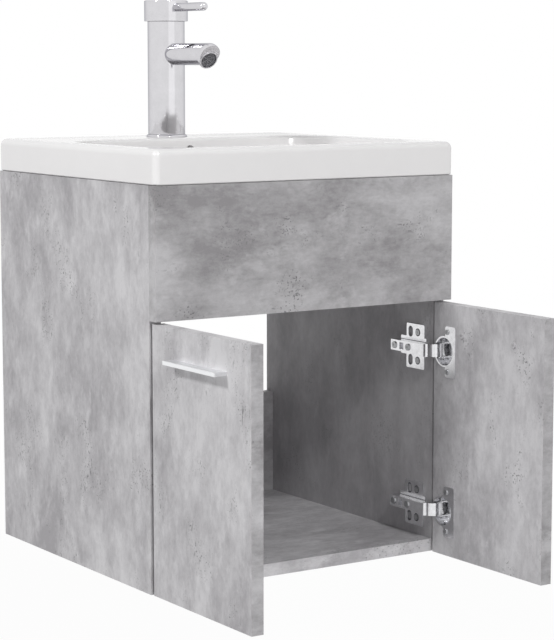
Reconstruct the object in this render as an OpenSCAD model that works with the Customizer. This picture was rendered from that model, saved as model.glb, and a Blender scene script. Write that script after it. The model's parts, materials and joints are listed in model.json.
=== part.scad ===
// Wall-hung vanity unit: a chipboard cabinet with two doors on concealed cup hinges,
// a ceramic basin, a push-to-open waste and a single-lever tap. The doors stand open.
// Millimetres. X runs to the right, Y to the wall and Z up. The origin is the middle of
// the hanging rail's rear face, on the wall.

/* [Cabinet] */
// Width over the two side panels
cabinet_w = 410; // [380:5:600]
// Depth of the side panels, without the boards in front of them
side_depth = 370; // [340:5:480]
// Height of the side panels
cabinet_h = 460; // [440:5:640]
// Thickness of every board
board_t = 15; // [15:0.5:18]
// Height of the fixed fascia under the basin
fascia_h = 150; // [140:5:180]
// Height of the lower back panel
lower_back_h = 135; // [100:5:180]
// Height of the hanging rail
rail_h = 70; // [60:5:90]

/* [Doors] */
// Gap between the fascia and the doors
door_top_gap = 3; // [2:0.5:5]
// Gap between the two closed doors
door_mid_gap = 3; // [2:0.5:5]
// How far a closed door's edge stands in from the side panel's outer face
edge_reveal = 0.5; // [0:0.1:1]
// Gap between a closed door and the side panel's front edge
door_gap = 2.4; // [2.2:0.1:2.6]
// How far an open door's edge stands in front of the side panel
stand_off = 4; // [3.9:0.1:4.3]
// How far an open door's inner face stands inside the side panel's inner face
open_inset = 1.5; // [1.4:0.1:1.6]
// Length of the finger-pull handle
handle_l = 108; // [80:2:140]
// How far the handle stands out of the door
handle_out = 15; // [13:0.5:20]
// Height of the handle's front blade
handle_blade_h = 4.5; // [4.5:0.5:7]
// Distance from the door's top edge down to the handle
handle_drop = 36; // [25:1:60]
// Distance between the handle's two screws
handle_pitch = 96; // [64:32:96]

/* [Hinges] */
// Height of the lower hinge over the cabinet's bottom
lower_hinge_h = 54; // [45:1:80]
// Distance between the two hinges of a door
hinge_pitch = 195; // [160:1:200]
// Radius of the cup's hole in the door
cup_r = 17.5; // [17.5:0.1:18]
// Depth of the cup
cup_depth = 11.8; // [11.4:0.1:12]
// Board left between the door's edge and the cup
cup_margin = 3; // [3:0.1:3.4]
// Distance between the two screws of a cup
cup_screw_pitch = 48; // [45:1:52]
// Width of the hinge arm, over its cheeks
arm_w = 13.2; // [12.8:0.1:13.6]
// Length of the hinge arm behind the side panel's front edge
arm_l = 66; // [60:1:72]
// Height of the hinge arm's web over the side panel
arm_lift = 15; // [14.5:0.1:15.5]
// Radius of the hinge pins
pin_r = 1.25; // [1.2:0.05:1.25]

/* [Basin] */
// Overhang of the basin past the cabinet
basin_overhang = 1; // [0:0.5:3]
// Height of the basin's apron
apron_h = 39; // [35:1:50]
// Radius of the basin's outer edges
basin_edge_r = 8; // [6:0.5:10]
// Thickness of the ceramic deck and shell
shell_t = 10; // [9:0.5:12]
// Width of the rim beside the bowl
rim_w = 26; // [24:1:40]
// Depth of the deck behind the bowl
deck_l = 118; // [110:1:130]
// Depth of the bowl under the rim
bowl_depth = 108; // [95:1:115]
// Thickness of the silicone bed under the basin
bead_t = 0.8; // [0.5:0.1:1.5]

/* [Waste] */
// Radius of the waste's flange
flange_r = 32; // [31:0.5:35]
// Outer radius of the waste's outlet, for an inch and a quarter trap
outlet_r = 20.95; // [20.95:0.05:21.05]
// Length of the waste under the bowl
waste_l = 72; // [66:1:84]
// Travel of the push-to-open plug
plug_travel = 7; // [5:0.5:8]

/* [Tap] */
// Distance from the wall to the tap's axis
tap_from_wall = 60; // [55:1:65]
// Radius of the tap's body
tap_r = 23.4; // [23:0.1:23.7]
// Height of the tap's body over the deck
tap_body_h = 145.5; // [130:0.5:160]
// Radius of the tap's head
head_r = 27.5; // [27.3:0.1:28.5]
// Height of the tap's head
head_h = 26; // [24:0.5:30]
// Radius of the spout
spout_r = 13.5; // [13.3:0.1:14.2]
// Height of the spout's axis over the deck
spout_h = 103.5; // [90:0.5:110]
// Reach of the spout from the tap's axis
spout_reach = 118; // [105:1:130]
// Reach of the lever from the tap's axis
lever_reach = 96; // [80:1:110]
// Radius of the lever
lever_r = 5.2; // [4.6:0.1:5.6]

/* [Clearances] */
// Radial clearance of a pin that turns in its hole
run = 0.05; // [0.03:0.01:0.08]
// Radial clearance of a piece that is fixed in its hole
seat = 0.02; // [0.01:0.01:0.05]
// Gap between hinge pieces that move past each other
side_gap = 0.2; // [0.15:0.05:0.25]

/* [Hidden] */
$fn = 64;

LEFT = -1;
RIGHT = 1;
SIDES = [LEFT, RIGHT];
DECOR = "#b4b3b5";
NICKEL = "#c9cacc";
CHROME = "#d8dadd";
CERAMIC = "#f2f1f0";

floor_z = rail_h / 2 - cabinet_h;
top_z = rail_h / 2;
inner_x = cabinet_w / 2 - board_t;
fascia_z = top_z - fascia_h;
front_y = -side_depth - board_t;
hinge_heights = [lower_hinge_h, lower_hinge_h + hinge_pitch];

// Doors
door_w = cabinet_w / 2 - edge_reveal - door_mid_gap / 2;
door_h = cabinet_h - fascia_h - door_top_gap;
handle_z = door_h - handle_drop;
handle_wall = 1.8;
handle_screw_r = 1.6;
screw_head_r = 3.6;

// Wall fixings
wall_hole_r = 3;
wall_hole_x = 130;
lower_wall_hole_z = floor_z + 100;

// Fittings between the boards
cam_r = 7.5;
cam_deep = 12.5;
cam_in = 24;
bolt_thread_r = 2.5;
bolt_thread_l = 11;
bolt_shank_r = 3;
bolt_channel_r = 3.6;
dowel_r = 4;
dowel_short = 10;
dowel_long = 20;
fitting_inset = 50;
dowel_step = 32;

// Basin
basin_z = top_z + bead_t;
rim_z = basin_z + apron_h;
basin_w = cabinet_w + 2 * basin_overhang;
basin_d = side_depth + board_t + basin_overhang;
bowl_front = basin_d - rim_w;
bowl_y = -(deck_l + bowl_front) / 2;
bowl_half = [basin_w / 2 - rim_w, (bowl_front - deck_l) / 2];
bowl_corner_r = 58;
bowl_draft = 5;
lip_r = 6;
bowl_floor_r = 42;
bowl_floor_z = rim_z - bowl_depth;
apron_wall = 10;
drain_r = 22.5;
overflow_r = 6;
overflow_drop = 15;
tap_hole_r = 17.5;

// Function values of the concealed hinge, seen from above on the left side. X runs inwards
// from the side panel's outer face, Y runs back from its front edge. Both links turn on the
// arm and in the cup, and their four pivots are placed so that the closed and the open door
// are both met. A door that swings a quarter turn between those two places turns about one
// pole. A link that keeps its length has its arm pivot on the ray at 45 degrees to its cup
// pivot, seen from that pole.
open_x = board_t + open_inset;
pole = [
    (open_x + door_gap + edge_reveal - stand_off) / 2,
    (edge_reveal - stand_off - open_x - door_gap) / 2
];
arm_front_pivot = [board_t + 12, -1.5];
arm_rear_pivot = [board_t + 7.5, 3];
outer_pivot_depth = 7.2;
inner_pivot_depth = 2.9;
cup_u = cup_margin + cup_r;
cup_wall = 0.7;
flange_t = 1;
eye_r = 1.85;
arm_eye_r = 2.6;
sheet_t = 1.2;
cheek_t = 1;
link_bow = 7.05;
link_band = 2.6;
link_knee = [board_t + 4.8, -10];
inner_link_t = 2.4;
cheek_out = arm_w / 2 + side_gap + cheek_t;
lug_in = cheek_out + side_gap;
lug_t = 1.2;
plate_t = 2;
plate_screw_y = 28.5;
plate_slot_y = 43;
plate_screw_z = 17.4;
plate_dish = 1;
arm_screw_y = [31.2, 58.5];
arm_screw_r = 2;
arm_window_y = [40.4, 48.4];
wood_screw_r = 1.5;
wood_screw_l = 11;

// A pivot on the closed door, as distances along the door and out of its inner face
function cup_pivot(arm, depth) =
    let (
        ray = atan2(arm[1] - pole[1], arm[0] - pole[0]) + 45,
        y = -door_gap - depth,
        t = (y - pole[1]) / sin(ray)
    )
    [pole[0] + t * cos(ray) - edge_reveal, -depth];

// The same pivot once the door stands open
function open_place(p) = [open_x + p[1], -stand_off - p[0]];

outer_pivot = cup_pivot(arm_front_pivot, outer_pivot_depth);
inner_pivot = cup_pivot(arm_rear_pivot, inner_pivot_depth);
outer_open = open_place(outer_pivot);
inner_open = open_place(inner_pivot);

// Waste and tap
gasket_t = 1.5;
flange_h = 2.5;
waste_bore_r = 17.5;
stem_r = 5;
spider_h = 12;
spider_z = 6 - waste_l / 2;
lower_gasket_t = 4;
waste_nut_h = 9;
waste_nut_z = -shell_t - lower_gasket_t - waste_nut_h;
groove_w = 1.5;
groove_deep = 0.8;
tap_y = -tap_from_wall;
skirt_lap = 0.9;
head_z = rim_z + tap_body_h - skirt_lap;
head_wall = 1;
pivot_h = 3.5;
head_pivot_z = head_z + pivot_h;
cartridge_r = 17.4;
cartridge_h = 30;
core_r = 13;
lever_h = 17;
lever_seat_y = -16;
stud_r = 4;
stud_back = 10;
stud_in = 15.5;
stud_out = 46;
aerator_r = 11.2;
aerator_l = 7;
aerator_y = spout_reach - 1.16 * spout_r;
inlet_r = 4.5;
inlet_x = 8;

// Draws on one side of the unit what is drawn for the left side
module on_side(side) {
    if (side == LEFT) children();
    else mirror([1, 0, 0]) children();
}

// Puts what is drawn from the side panel's front outer edge, at the cabinet's bottom
module at_front_edge(side) {
    on_side(side) translate([-cabinet_w / 2, -side_depth, floor_z]) children();
}

// Puts what is drawn on a closed door, X along it and Y out of its inner face, on the open one
module on_door(side) {
    at_front_edge(side) translate([open_x, -stand_off, 0]) rotate(-90) children();
}

// A cylinder along Y, from y = a to y = b
module rod_y(r, a, b) {
    translate([0, a, 0]) rotate([-90, 0, 0]) cylinder(r = r, h = b - a);
}

// A cylinder along X, from x = a to x = b
module rod_x(r, a, b) {
    translate([a, 0, 0]) rotate([0, 90, 0]) cylinder(r = r, h = b - a);
}

// A rectangle with round corners, centred
module round_rect(w, d, r) {
    square([w - 2 * r, d], center = true);
    square([w, d - 2 * r], center = true);
    for (x = [-1, 1], y = [-1, 1])
        translate([x * (w / 2 - r), y * (d / 2 - r)]) circle(r);
}

// A bar between two points, with round ends
module bar_2d(a, b, t) {
    span = b - a;
    translate(a) rotate(atan2(span[1], span[0])) {
        translate([0, -t / 2]) square([norm(span), t]);
        circle(t / 2);
    }
    translate(b) circle(t / 2);
}

// Children in a frame whose Y and Z axes are given
module in_frame(at, y, z) {
    x = cross(y, z);
    multmatrix([
        [x[0], y[0], z[0], at[0]],
        [x[1], y[1], z[1], at[1]],
        [x[2], y[2], z[2], at[2]]
    ]) children();
}

// Board joints. Each row of fittings joins a side panel to one board: Z runs into the board
// that holds the cam, Y out of the cam's mouth
ROWS = ["bottom", "back", "rail", "fascia"];
function cam_places(row, side) =
    row == "bottom" ? [for (y = [fitting_inset, side_depth - fitting_inset])
        [side * inner_x, -y, floor_z + board_t / 2]]
    : row == "back" ? [[side * inner_x, -board_t / 2, floor_z + board_t + lower_back_h / 2]]
    : row == "rail" ? [[side * inner_x, -board_t / 2, 0]]
    : [for (z = [fascia_h / 4, fascia_h * 3 / 4])
        [side * (inner_x + board_t / 2), -side_depth, fascia_z + z]];
function dowel_places(row, side) =
    row == "bottom" ? [for (y = [fitting_inset, side_depth - fitting_inset])
        [side * inner_x, -y - (y > side_depth / 2 ? -dowel_step : dowel_step),
            floor_z + board_t / 2]]
    : row == "back" ? [for (z = [-dowel_step, dowel_step])
        [side * inner_x, -board_t / 2, floor_z + board_t + lower_back_h / 2 + z]]
    : row == "rail" ? [[side * inner_x, -board_t / 2, rail_h / 4 + 2]]
    : [[side * (inner_x + board_t / 2), -side_depth, fascia_z + fascia_h / 2]];
function mouth(row, side) =
    row == "bottom" ? [0, 0, -1] : row == "fascia" ? [-side, 0, 0] : [0, 1, 0];
function inward(row, side) = row == "fascia" ? [0, 1, 0] : [-side, 0, 0];

module at_cams(rows) {
    for (row = rows, side = SIDES, p = cam_places(row, side))
        in_frame(p, mouth(row, side), inward(row, side)) children();
}

module at_dowels(rows) {
    for (row = rows, side = SIDES, p = dowel_places(row, side))
        in_frame(p, mouth(row, side), inward(row, side)) children();
}

module joint_holes(rows) {
    at_cams(rows) {
        translate([0, 0, -bolt_thread_l]) cylinder(r = bolt_thread_r, h = bolt_thread_l);
        cylinder(r = bolt_channel_r, h = cam_in);
        translate([0, 0, cam_in]) rod_y(cam_r, board_t / 2 - cam_deep, board_t);
    }
    at_dowels(rows)
        translate([0, 0, -dowel_short]) cylinder(r = dowel_r, h = dowel_short + dowel_long);
}

module wall_hole(x, z) {
    translate([x, 0, z]) {
        rod_y(wall_hole_r, -board_t - 1, 1);
        translate([0, -board_t, 0]) rotate([-90, 0, 0])
            cylinder(r1 = 2 * wall_hole_r, r2 = wall_hole_r, h = wall_hole_r);
    }
}

module side_panel(side) {
    color(DECOR) difference() {
        translate([side == LEFT ? -cabinet_w / 2 : inner_x, -side_depth, floor_z])
            cube([board_t, side_depth, cabinet_h]);
        joint_holes(ROWS);
        for (h = hinge_heights, z = [-plate_screw_z, plate_screw_z])
            at_front_edge(side) translate([board_t, plate_screw_y, h + z])
                rod_x(wood_screw_r + seat, -wood_screw_l, 1);
    }
}

module bottom_panel() {
    color(DECOR) difference() {
        translate([-inner_x, -side_depth, floor_z]) cube([2 * inner_x, side_depth, board_t]);
        joint_holes(["bottom"]);
    }
}

module front_fascia() {
    color(DECOR) difference() {
        translate([-cabinet_w / 2, front_y, fascia_z]) cube([cabinet_w, board_t, fascia_h]);
        joint_holes(["fascia"]);
    }
}

module lower_back_panel() {
    color(DECOR) difference() {
        translate([-inner_x, -board_t, floor_z + board_t])
            cube([2 * inner_x, board_t, lower_back_h]);
        joint_holes(["back"]);
        for (side = SIDES) wall_hole(side * wall_hole_x, lower_wall_hole_z);
    }
}

module hanging_rail() {
    color(DECOR) difference() {
        translate([-inner_x, -board_t, -rail_h / 2]) cube([2 * inner_x, board_t, rail_h]);
        joint_holes(["rail"]);
        for (side = SIDES) wall_hole(side * wall_hole_x, 0);
    }
}

// Zinc discs that pull the bolts' heads in, with a screwdriver slot in the mouth
module cam_locks() {
    slot = 1.4;
    color(NICKEL) at_cams(ROWS) translate([0, 0, cam_in]) difference() {
        rod_y(cam_r - 0.1, board_t / 2 - cam_deep + 0.1, board_t / 2 - 0.2);
        translate([0, 0, -cam_r]) cylinder(r = bolt_channel_r, h = cam_r + bolt_channel_r);
        translate([-cam_r / 2, board_t / 2 - slot, -slot / 2]) cube([cam_r, slot, slot]);
    }
}

module cam_bolts() {
    neck_r = 2;
    head_l = 3;
    color(NICKEL) at_cams(ROWS) {
        translate([0, 0, -bolt_thread_l + 0.3])
            cylinder(r = bolt_thread_r - seat, h = bolt_thread_l - 0.3);
        cylinder(r = bolt_shank_r, h = cam_in - cam_r);
        cylinder(r = neck_r, h = cam_in);
        translate([0, 0, cam_in]) cylinder(r = bolt_shank_r, h = head_l);
    }
}

module dowels() {
    color("#c8a878") at_dowels(ROWS) translate([0, 0, 0.2 - dowel_short])
        cylinder(r = dowel_r - seat, h = dowel_short + dowel_long - 0.4);
}

// Doors and handles
module handle_places() {
    for (u = [-1, 1]) translate([door_w / 2 + u * handle_pitch / 2, 0, handle_z]) children();
}

module door(side) {
    color(DECOR) on_door(side) difference() {
        translate([0, -board_t, 0]) cube([door_w, board_t, door_h]);
        for (h = hinge_heights) translate([cup_u, 0, h]) {
            rod_y(cup_r, -cup_depth - 0.2, 1);
            for (z = [-1, 1]) translate([cup_screw_step, 0, z * cup_screw_pitch / 2])
                rod_y(wood_screw_r + seat, -wood_screw_l, 1);
        }
        handle_places() rod_y(handle_screw_r + 0.2, -board_t - 1, 1);
    }
}
cup_screw_step = 6;

// An aluminium profile with a hollow underside, a front blade to pull and a rear lip
module handle(side) {
    hollow = handle_blade_h - handle_wall;
    span = handle_out - 2 * handle_wall;
    hollow_r = (span * span / 4 + hollow * hollow) / (2 * hollow);
    rib = 9;
    color("#dcdde0") on_door(side) difference() {
        union() {
            translate([door_w / 2 - handle_l / 2, -board_t, handle_z]) rotate([90, 0, 90])
                linear_extrude(handle_l) difference() {
                    translate([-handle_out, -handle_blade_h / 2])
                        square([handle_out, handle_blade_h]);
                    translate([-handle_out / 2, handle_blade_h / 2 - handle_wall - hollow_r])
                        circle(hollow_r);
                }
            handle_places() translate([-rib / 2, -board_t - handle_out + 1, -handle_blade_h / 2])
                cube([rib, handle_out - 1, handle_blade_h]);
        }
        handle_places() rod_y(handle_screw_r + seat, -board_t - handle_out + 4, 1 - board_t);
    }
}

module handle_screws(side) {
    head_t = 1.6;
    color(NICKEL) on_door(side) handle_places() {
        rod_y(handle_screw_r, -board_t - handle_out + 4.5, 0.1);
        difference() {
            rod_y(screw_head_r, 0, head_t);
            cross_recess(head_t);
        }
    }
}

// The cross of a screwdriver in a head that points along Y
module cross_recess(top) {
    for (a = [0, 90]) rotate([0, a, 0])
        translate([-1.7, top - 0.8, -0.35]) cube([3.4, 1, 0.7]);
}

// Hinges: the pieces are drawn round the hinge's own height
module at_hinge(side, level) {
    at_front_edge(side) translate([0, 0, hinge_heights[level]]) children();
}

module on_door_hinge(side, level) {
    on_door(side) translate([0, 0, hinge_heights[level]]) children();
}

// A plate through the hinge's thickness, from z = -half to half
module slab(half) {
    translate([0, 0, -half]) linear_extrude(2 * half) children();
}

// Two equal plates beside the middle, from inner to outer
module pair_of_plates(inner, outer) {
    for (z = [-outer, inner]) translate([0, 0, z]) linear_extrude(outer - inner) children();
}

// A slot along Z that goes through X, its round ends r wide and their middles half away
module slot_x(r, half, a, b) {
    for (z = [-half, half]) translate([0, 0, z]) rod_x(r, a, b);
    translate([a, -r, -half]) cube([b - a, 2 * r, 2 * half]);
}

// The wings lie on the side panel, the block between them fills the arm's channel. Each wing
// has a dished screw hole and a dished slot
module hinge_plate(side, level) {
    wing_y = [15.2, 51.2];
    wing_z = 27.4;
    foot_y = [11, 62.5];
    foot_z = 11.4;
    corner = 1.5;
    block_half = arm_w / 2 - sheet_t - side_gap;
    block_top = arm_lift - sheet_t - side_gap;
    color(NICKEL) at_hinge(side, level) translate([board_t, 0, 0]) difference() {
        union() {
            rotate([0, 90, 0]) linear_extrude(plate_t) {
                translate([0, (wing_y[0] + wing_y[1]) / 2])
                    round_rect(2 * wing_z, wing_y[1] - wing_y[0], corner);
                translate([0, (foot_y[0] + foot_y[1]) / 2])
                    round_rect(2 * foot_z, foot_y[1] - foot_y[0], corner);
            }
            translate([0, foot_y[0] + 1, -block_half])
                cube([block_top, foot_y[1] - foot_y[0] - 2, 2 * block_half]);
        }
        for (z = [-plate_screw_z, plate_screw_z]) {
            translate([0, plate_screw_y, z]) {
                rod_x(wood_screw_r + 0.3, -1, plate_t + 1);
                rod_x(4.8, plate_t - plate_dish, plate_t + 1);
            }
            translate([0, plate_slot_y, z]) {
                slot_x(2.4, 2.2, -1, plate_t + 1);
                slot_x(4.4, 2.2, plate_t - plate_dish, plate_t + 1);
            }
        }
        translate([block_top - 6, arm_window_y[0] + 0.4, -block_half + 1.2])
            cube([7, arm_window_y[1] - arm_window_y[0] - 0.8, 2 * block_half - 2.4]);
        for (y = arm_screw_y)
            translate([0, y, 0]) rod_x(arm_screw_r + seat, plate_t, block_top + 1);
    }
}

module hinge_plate_screws() {
    head_t = 1.5;
    color(NICKEL) for (side = SIDES, level = [0, 1], z = [-plate_screw_z, plate_screw_z])
        at_hinge(side, level) translate([board_t, plate_screw_y, z]) {
            rod_x(wood_screw_r, 0.3 - wood_screw_l, plate_t);
            translate([plate_t - plate_dish, 0, 0]) difference() {
                rod_x(screw_head_r, 0, head_t);
                rotate(-90) cross_recess(head_t);
            }
        }
}

// A channel of sheet steel. Its cheeks carry the two arm pins at the front
module hinge_arm(side, level) {
    web_x = board_t + arm_lift;
    cheek_x = board_t + 4;
    color(CHROME) at_hinge(side, level) difference() {
        union() {
            pair_of_plates(arm_w / 2 - sheet_t, arm_w / 2) {
                translate([cheek_x, 4]) square([web_x - cheek_x, arm_l - 4]);
                translate(arm_front_pivot) circle(arm_eye_r);
                translate(arm_rear_pivot) circle(arm_eye_r);
                polygon([
                    arm_front_pivot + [arm_eye_r, 0], [web_x, 4.5], [cheek_x, 4.5],
                    arm_rear_pivot - [arm_eye_r, 0], arm_front_pivot - [1.8, 1.8]
                ]);
            }
            translate([web_x - sheet_t, 3, -arm_w / 2]) cube([sheet_t, arm_l - 3, arm_w]);
        }
        for (p = [arm_front_pivot, arm_rear_pivot])
            translate([p[0], p[1], -arm_w]) cylinder(r = pin_r + seat, h = 2 * arm_w);
        for (y = arm_screw_y)
            translate([0, y, 0]) rod_x(arm_screw_r + 0.3, web_x - 2, web_x + 1);
        translate([web_x - 2, arm_window_y[0], -4.2])
            cube([4, arm_window_y[1] - arm_window_y[0], 8.4]);
    }
}

module hinge_arm_screws() {
    web_x = board_t + arm_lift;
    head_t = 1.3;
    color(NICKEL) for (side = SIDES, level = [0, 1], y = arm_screw_y)
        at_hinge(side, level) translate([web_x, y, 0]) {
            rod_x(arm_screw_r, plate_t + 0.5 - arm_lift, 0.1);
            difference() {
                rod_x(screw_head_r + 0.6, 0, head_t);
                rotate(-90) cross_recess(head_t);
            }
        }
}

// The pins in the arms: the front one carries the outer link outside the arm's cheeks,
// the rear one the inner link between them
module hinge_arm_pins() {
    color(NICKEL) for (side = SIDES, level = [0, 1]) at_hinge(side, level) {
        translate(arm_front_pivot) slab(cheek_out + 0.4) circle(pin_r);
        translate(arm_rear_pivot) slab(arm_w / 2) circle(pin_r);
    }
}

// The outer link's curve: a circle through both its pivots, bowed out towards the room
link_chord = norm(outer_open - arm_front_pivot);
link_curve_r = (link_chord * link_chord / 4 + link_bow * link_bow) / (2 * link_bow);
link_dir = (outer_open - arm_front_pivot) / link_chord;
link_bow_dir = [-link_dir[1], link_dir[0]];
link_middle = (arm_front_pivot + outer_open) / 2;
link_centre = link_middle + (link_bow - link_curve_r) * link_bow_dir;

// A band along that curve, on its bowed side only, measured in from the outer face
module bowed_band(t) {
    outer_r = link_curve_r + cheek_t / 2;
    intersection() {
        translate(link_centre) difference() {
            circle(outer_r);
            circle(outer_r - t);
        }
        translate(link_middle) rotate(atan2(link_bow_dir[1], link_bow_dir[0]))
            translate([0, -2 * link_chord]) square([2 * link_chord, 4 * link_chord]);
    }
}

// Two cheeks on the pins, joined by a bowed web that clears the inner link. The web is
// rolled round the arm's nose and ends in a short lip over the arm
module outer_link(side, level) {
    roll_r = arm_lift + board_t - arm_front_pivot[0] + side_gap;
    lip = 4;
    color(CHROME) at_hinge(side, level) difference() {
        union() {
            pair_of_plates(cheek_out - cheek_t, cheek_out) {
                bowed_band(link_band);
                translate(arm_front_pivot) circle(roll_r + cheek_t);
                translate(outer_open) circle(eye_r);
            }
            slab(cheek_out) {
                difference() {
                    bowed_band(cheek_t);
                    translate(arm_front_pivot) circle(arm_eye_r + 1);
                    translate(outer_open) circle(eye_r);
                }
                translate(arm_front_pivot) intersection() {
                    difference() {
                        circle(roll_r + cheek_t);
                        circle(roll_r);
                    }
                    translate([-1, -2 * roll_r]) square([3 * roll_r, 2 * roll_r]);
                }
                translate(arm_front_pivot + [roll_r, 0]) square([cheek_t, lip]);
            }
        }
        for (p = [arm_front_pivot, outer_open])
            translate([p[0], p[1], -arm_w]) cylinder(r = pin_r + run, h = 2 * arm_w);
    }
}

// A bent bar inside the outer link. It reaches round the cup's rim to its pivot
module inner_link(side, level) {
    half = arm_w / 2 - sheet_t - side_gap;
    color(CHROME) at_hinge(side, level) difference() {
        slab(half) {
            translate(arm_rear_pivot) circle(arm_eye_r);
            translate(inner_open) circle(eye_r);
            bar_2d(inner_open, link_knee, inner_link_t);
            bar_2d(link_knee, arm_rear_pivot, inner_link_t);
        }
        translate([arm_rear_pivot[0], arm_rear_pivot[1], -arm_w])
            cylinder(r = pin_r + run, h = 2 * arm_w);
        translate([inner_open[0], inner_open[1], -arm_w])
            cylinder(r = pin_r + seat, h = 2 * arm_w);
    }
}

// The inner link's cup pin stops short of the lugs
module inner_link_pins(side) {
    color(NICKEL) for (level = [0, 1]) at_hinge(side, level)
        translate(inner_open) slab(arm_w / 2 - side_gap) circle(pin_r);
}

// A drawn steel cup with its straight-backed screw flange and the two lugs that hold the outer link's pin
module hinge_cup(side, level) {
    flange_u = [2, 21.5];
    flange_l = cup_screw_pitch + 14;
    rim = 1.4;
    inside_r = cup_r - seat - cup_wall;
    color(CHROME) on_door_hinge(side, level) difference() {
        union() {
            translate([cup_u, 0, 0]) rod_y(cup_r - seat, -cup_depth, 0);
            translate([0, flange_t, 0]) rotate([90, 0, 0]) linear_extrude(flange_t) {
                translate([cup_u, 0]) circle(cup_r + rim);
                translate([cup_u + (flange_u[0] + flange_u[1]) / 2, 0])
                    round_rect(flange_u[1] - flange_u[0], flange_l, 3);
            }
        }
        difference() {
            translate([cup_u, 0, 0]) rod_y(inside_r, cup_wall - cup_depth, flange_t + 1);
            pair_of_plates(lug_in, lug_in + lug_t)
                translate([0, -cup_depth]) square([outer_pivot[0] + 2.6, cup_depth - 0.5]);
        }
        translate([outer_pivot[0], outer_pivot[1], -cup_r])
            cylinder(r = pin_r + seat, h = 2 * cup_r);
        for (z = [-1, 1]) translate([cup_u + cup_screw_step, 0, z * cup_screw_pitch / 2])
            rod_y(wood_screw_r + 0.3, -1, flange_t + 1);
    }
}

// Short rivets, one in each lug, so that the inner link has room between them
module cup_pins(side) {
    color(NICKEL) for (level = [0, 1]) on_door_hinge(side, level)
        pair_of_plates(cheek_out - cheek_t, lug_in + lug_t)
            translate(outer_pivot) circle(pin_r);
}

module cup_screws(side) {
    head_t = 1.2;
    color(NICKEL) for (level = [0, 1], z = [-1, 1]) on_door_hinge(side, level)
        translate([cup_u + cup_screw_step, 0, z * cup_screw_pitch / 2]) {
            rod_y(wood_screw_r, 0.3 - wood_screw_l, flange_t);
            translate([0, flange_t, 0]) difference() {
                rod_y(screw_head_r - 0.4, 0, head_t);
                cross_recess(head_t);
            }
        }
}

// Basin. A ring of points round a rounded rectangle, of half sizes h, at height z
function ring(h, r, y, z, steps = 8) = [
    for (q = [0 : 3], i = [0 : steps])
        let (a = 90 * q + 90 * i / steps)
        [
            (q == 0 || q == 3 ? 1 : -1) * (h[0] - r) + r * cos(a),
            y + (q < 2 ? 1 : -1) * (h[1] - r) + r * sin(a),
            z
        ]
];

// The solid between two rings of as many points, the lower one first
module belt(lower, upper) {
    n = len(lower);
    hull() polyhedron(
        points = concat(lower, upper),
        faces = [
            [for (i = [0 : n - 1]) i],
            [for (i = [n - 1 : -1 : 0]) n + i],
            for (i = [0 : n - 1]) let (j = (i + 1) % n) [i, n + i, n + j, j]
        ]
    );
}

module loft(rings) {
    for (i = [0 : len(rings) - 2]) belt(rings[i], rings[i + 1]);
}

// The bowl's wall as pairs of depth under the rim and inset from the mouth: a rolled lip,
// a drafted wall and a round sweep into the floor. Grown by t it is the shell's outside
function bowl_profile(t) = concat(
    [for (a = [90 : -22.5 : 22.5]) [lip_r * (1 - sin(a)), -lip_r * (1 - cos(a))]],
    [for (a = [0 : 15 : 90])
        let (fall = bowl_depth - bowl_floor_r * (1 - sin(a)))
        [fall, tan(bowl_draft) * (bowl_depth - bowl_floor_r) + bowl_floor_r * (1 - cos(a))]]
);

function bowl_rings(t) = [
    for (p = bowl_profile(t))
        let (inset = p[1] - t, corner = max(12, bowl_corner_r - p[1] * 0.6))
        ring(bowl_half - [inset, inset], corner + t, bowl_y, rim_z - p[0] - t)
];

function reversed(v) = [for (i = [len(v) - 1 : -1 : 0]) v[i]];

// Rounded block: four quarter-round steps at the top edge
function block_rings() = concat(
    [ring([basin_w / 2, basin_d / 2], basin_edge_r, -basin_d / 2, basin_z)],
    [for (a = [0 : 15 : 90])
        let (inset = basin_edge_r * (1 - cos(a)))
        ring([basin_w / 2 - inset, basin_d / 2 - inset],
            basin_edge_r - inset + 0.6, -basin_d / 2, rim_z - basin_edge_r * (1 - sin(a)))]
);

module basin() {
    well = [basin_w / 2 - apron_wall, basin_d / 2 - apron_wall];
    color(CERAMIC) difference() {
        union() {
            difference() {
                loft(block_rings());
                belt(
                    ring(well, basin_edge_r, -basin_d / 2, basin_z - 1),
                    ring(well, basin_edge_r, -basin_d / 2, rim_z - shell_t)
                );
            }
            intersection() {
                loft(reversed(bowl_rings(shell_t)));
                translate([-basin_w / 2 + 1, -basin_d + 1, rim_z - 2 * bowl_depth])
                    cube([basin_w - 2, basin_d - 2, 2 * bowl_depth - 1]);
            }
        }
        loft(reversed(bowl_rings(0)));
        belt(
            ring(bowl_half + [lip_r, lip_r], bowl_corner_r, bowl_y, rim_z),
            ring(bowl_half + [lip_r, lip_r], bowl_corner_r, bowl_y, rim_z + 1)
        );
        translate([0, bowl_y, bowl_floor_z - 2 * shell_t]) cylinder(r = drain_r, h = 3 * shell_t);
        translate([0, tap_y, rim_z - 2 * shell_t]) cylinder(r = tap_hole_r, h = 3 * shell_t);
        translate([0, -deck_l - 12, rim_z - overflow_drop]) rod_y(overflow_r, 0, shell_t + 20);
    }
}

// A thin bed on the top edges of the side panels, the fascia and the rail
module silicone_bead() {
    bed_w = 6;
    inset = 3;
    w = cabinet_w - 2 * inset;
    d = side_depth + board_t - 2 * inset;
    color("#d9d9d9") translate([0, -(side_depth + board_t) / 2, top_z])
        linear_extrude(bead_t) difference() {
            square([w, d], center = true);
            square([w - 2 * bed_w, d - 2 * bed_w], center = true);
        }
}

// Waste, from the bowl's floor down
module at_drain() {
    translate([0, bowl_y, bowl_floor_z]) children();
}

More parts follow.
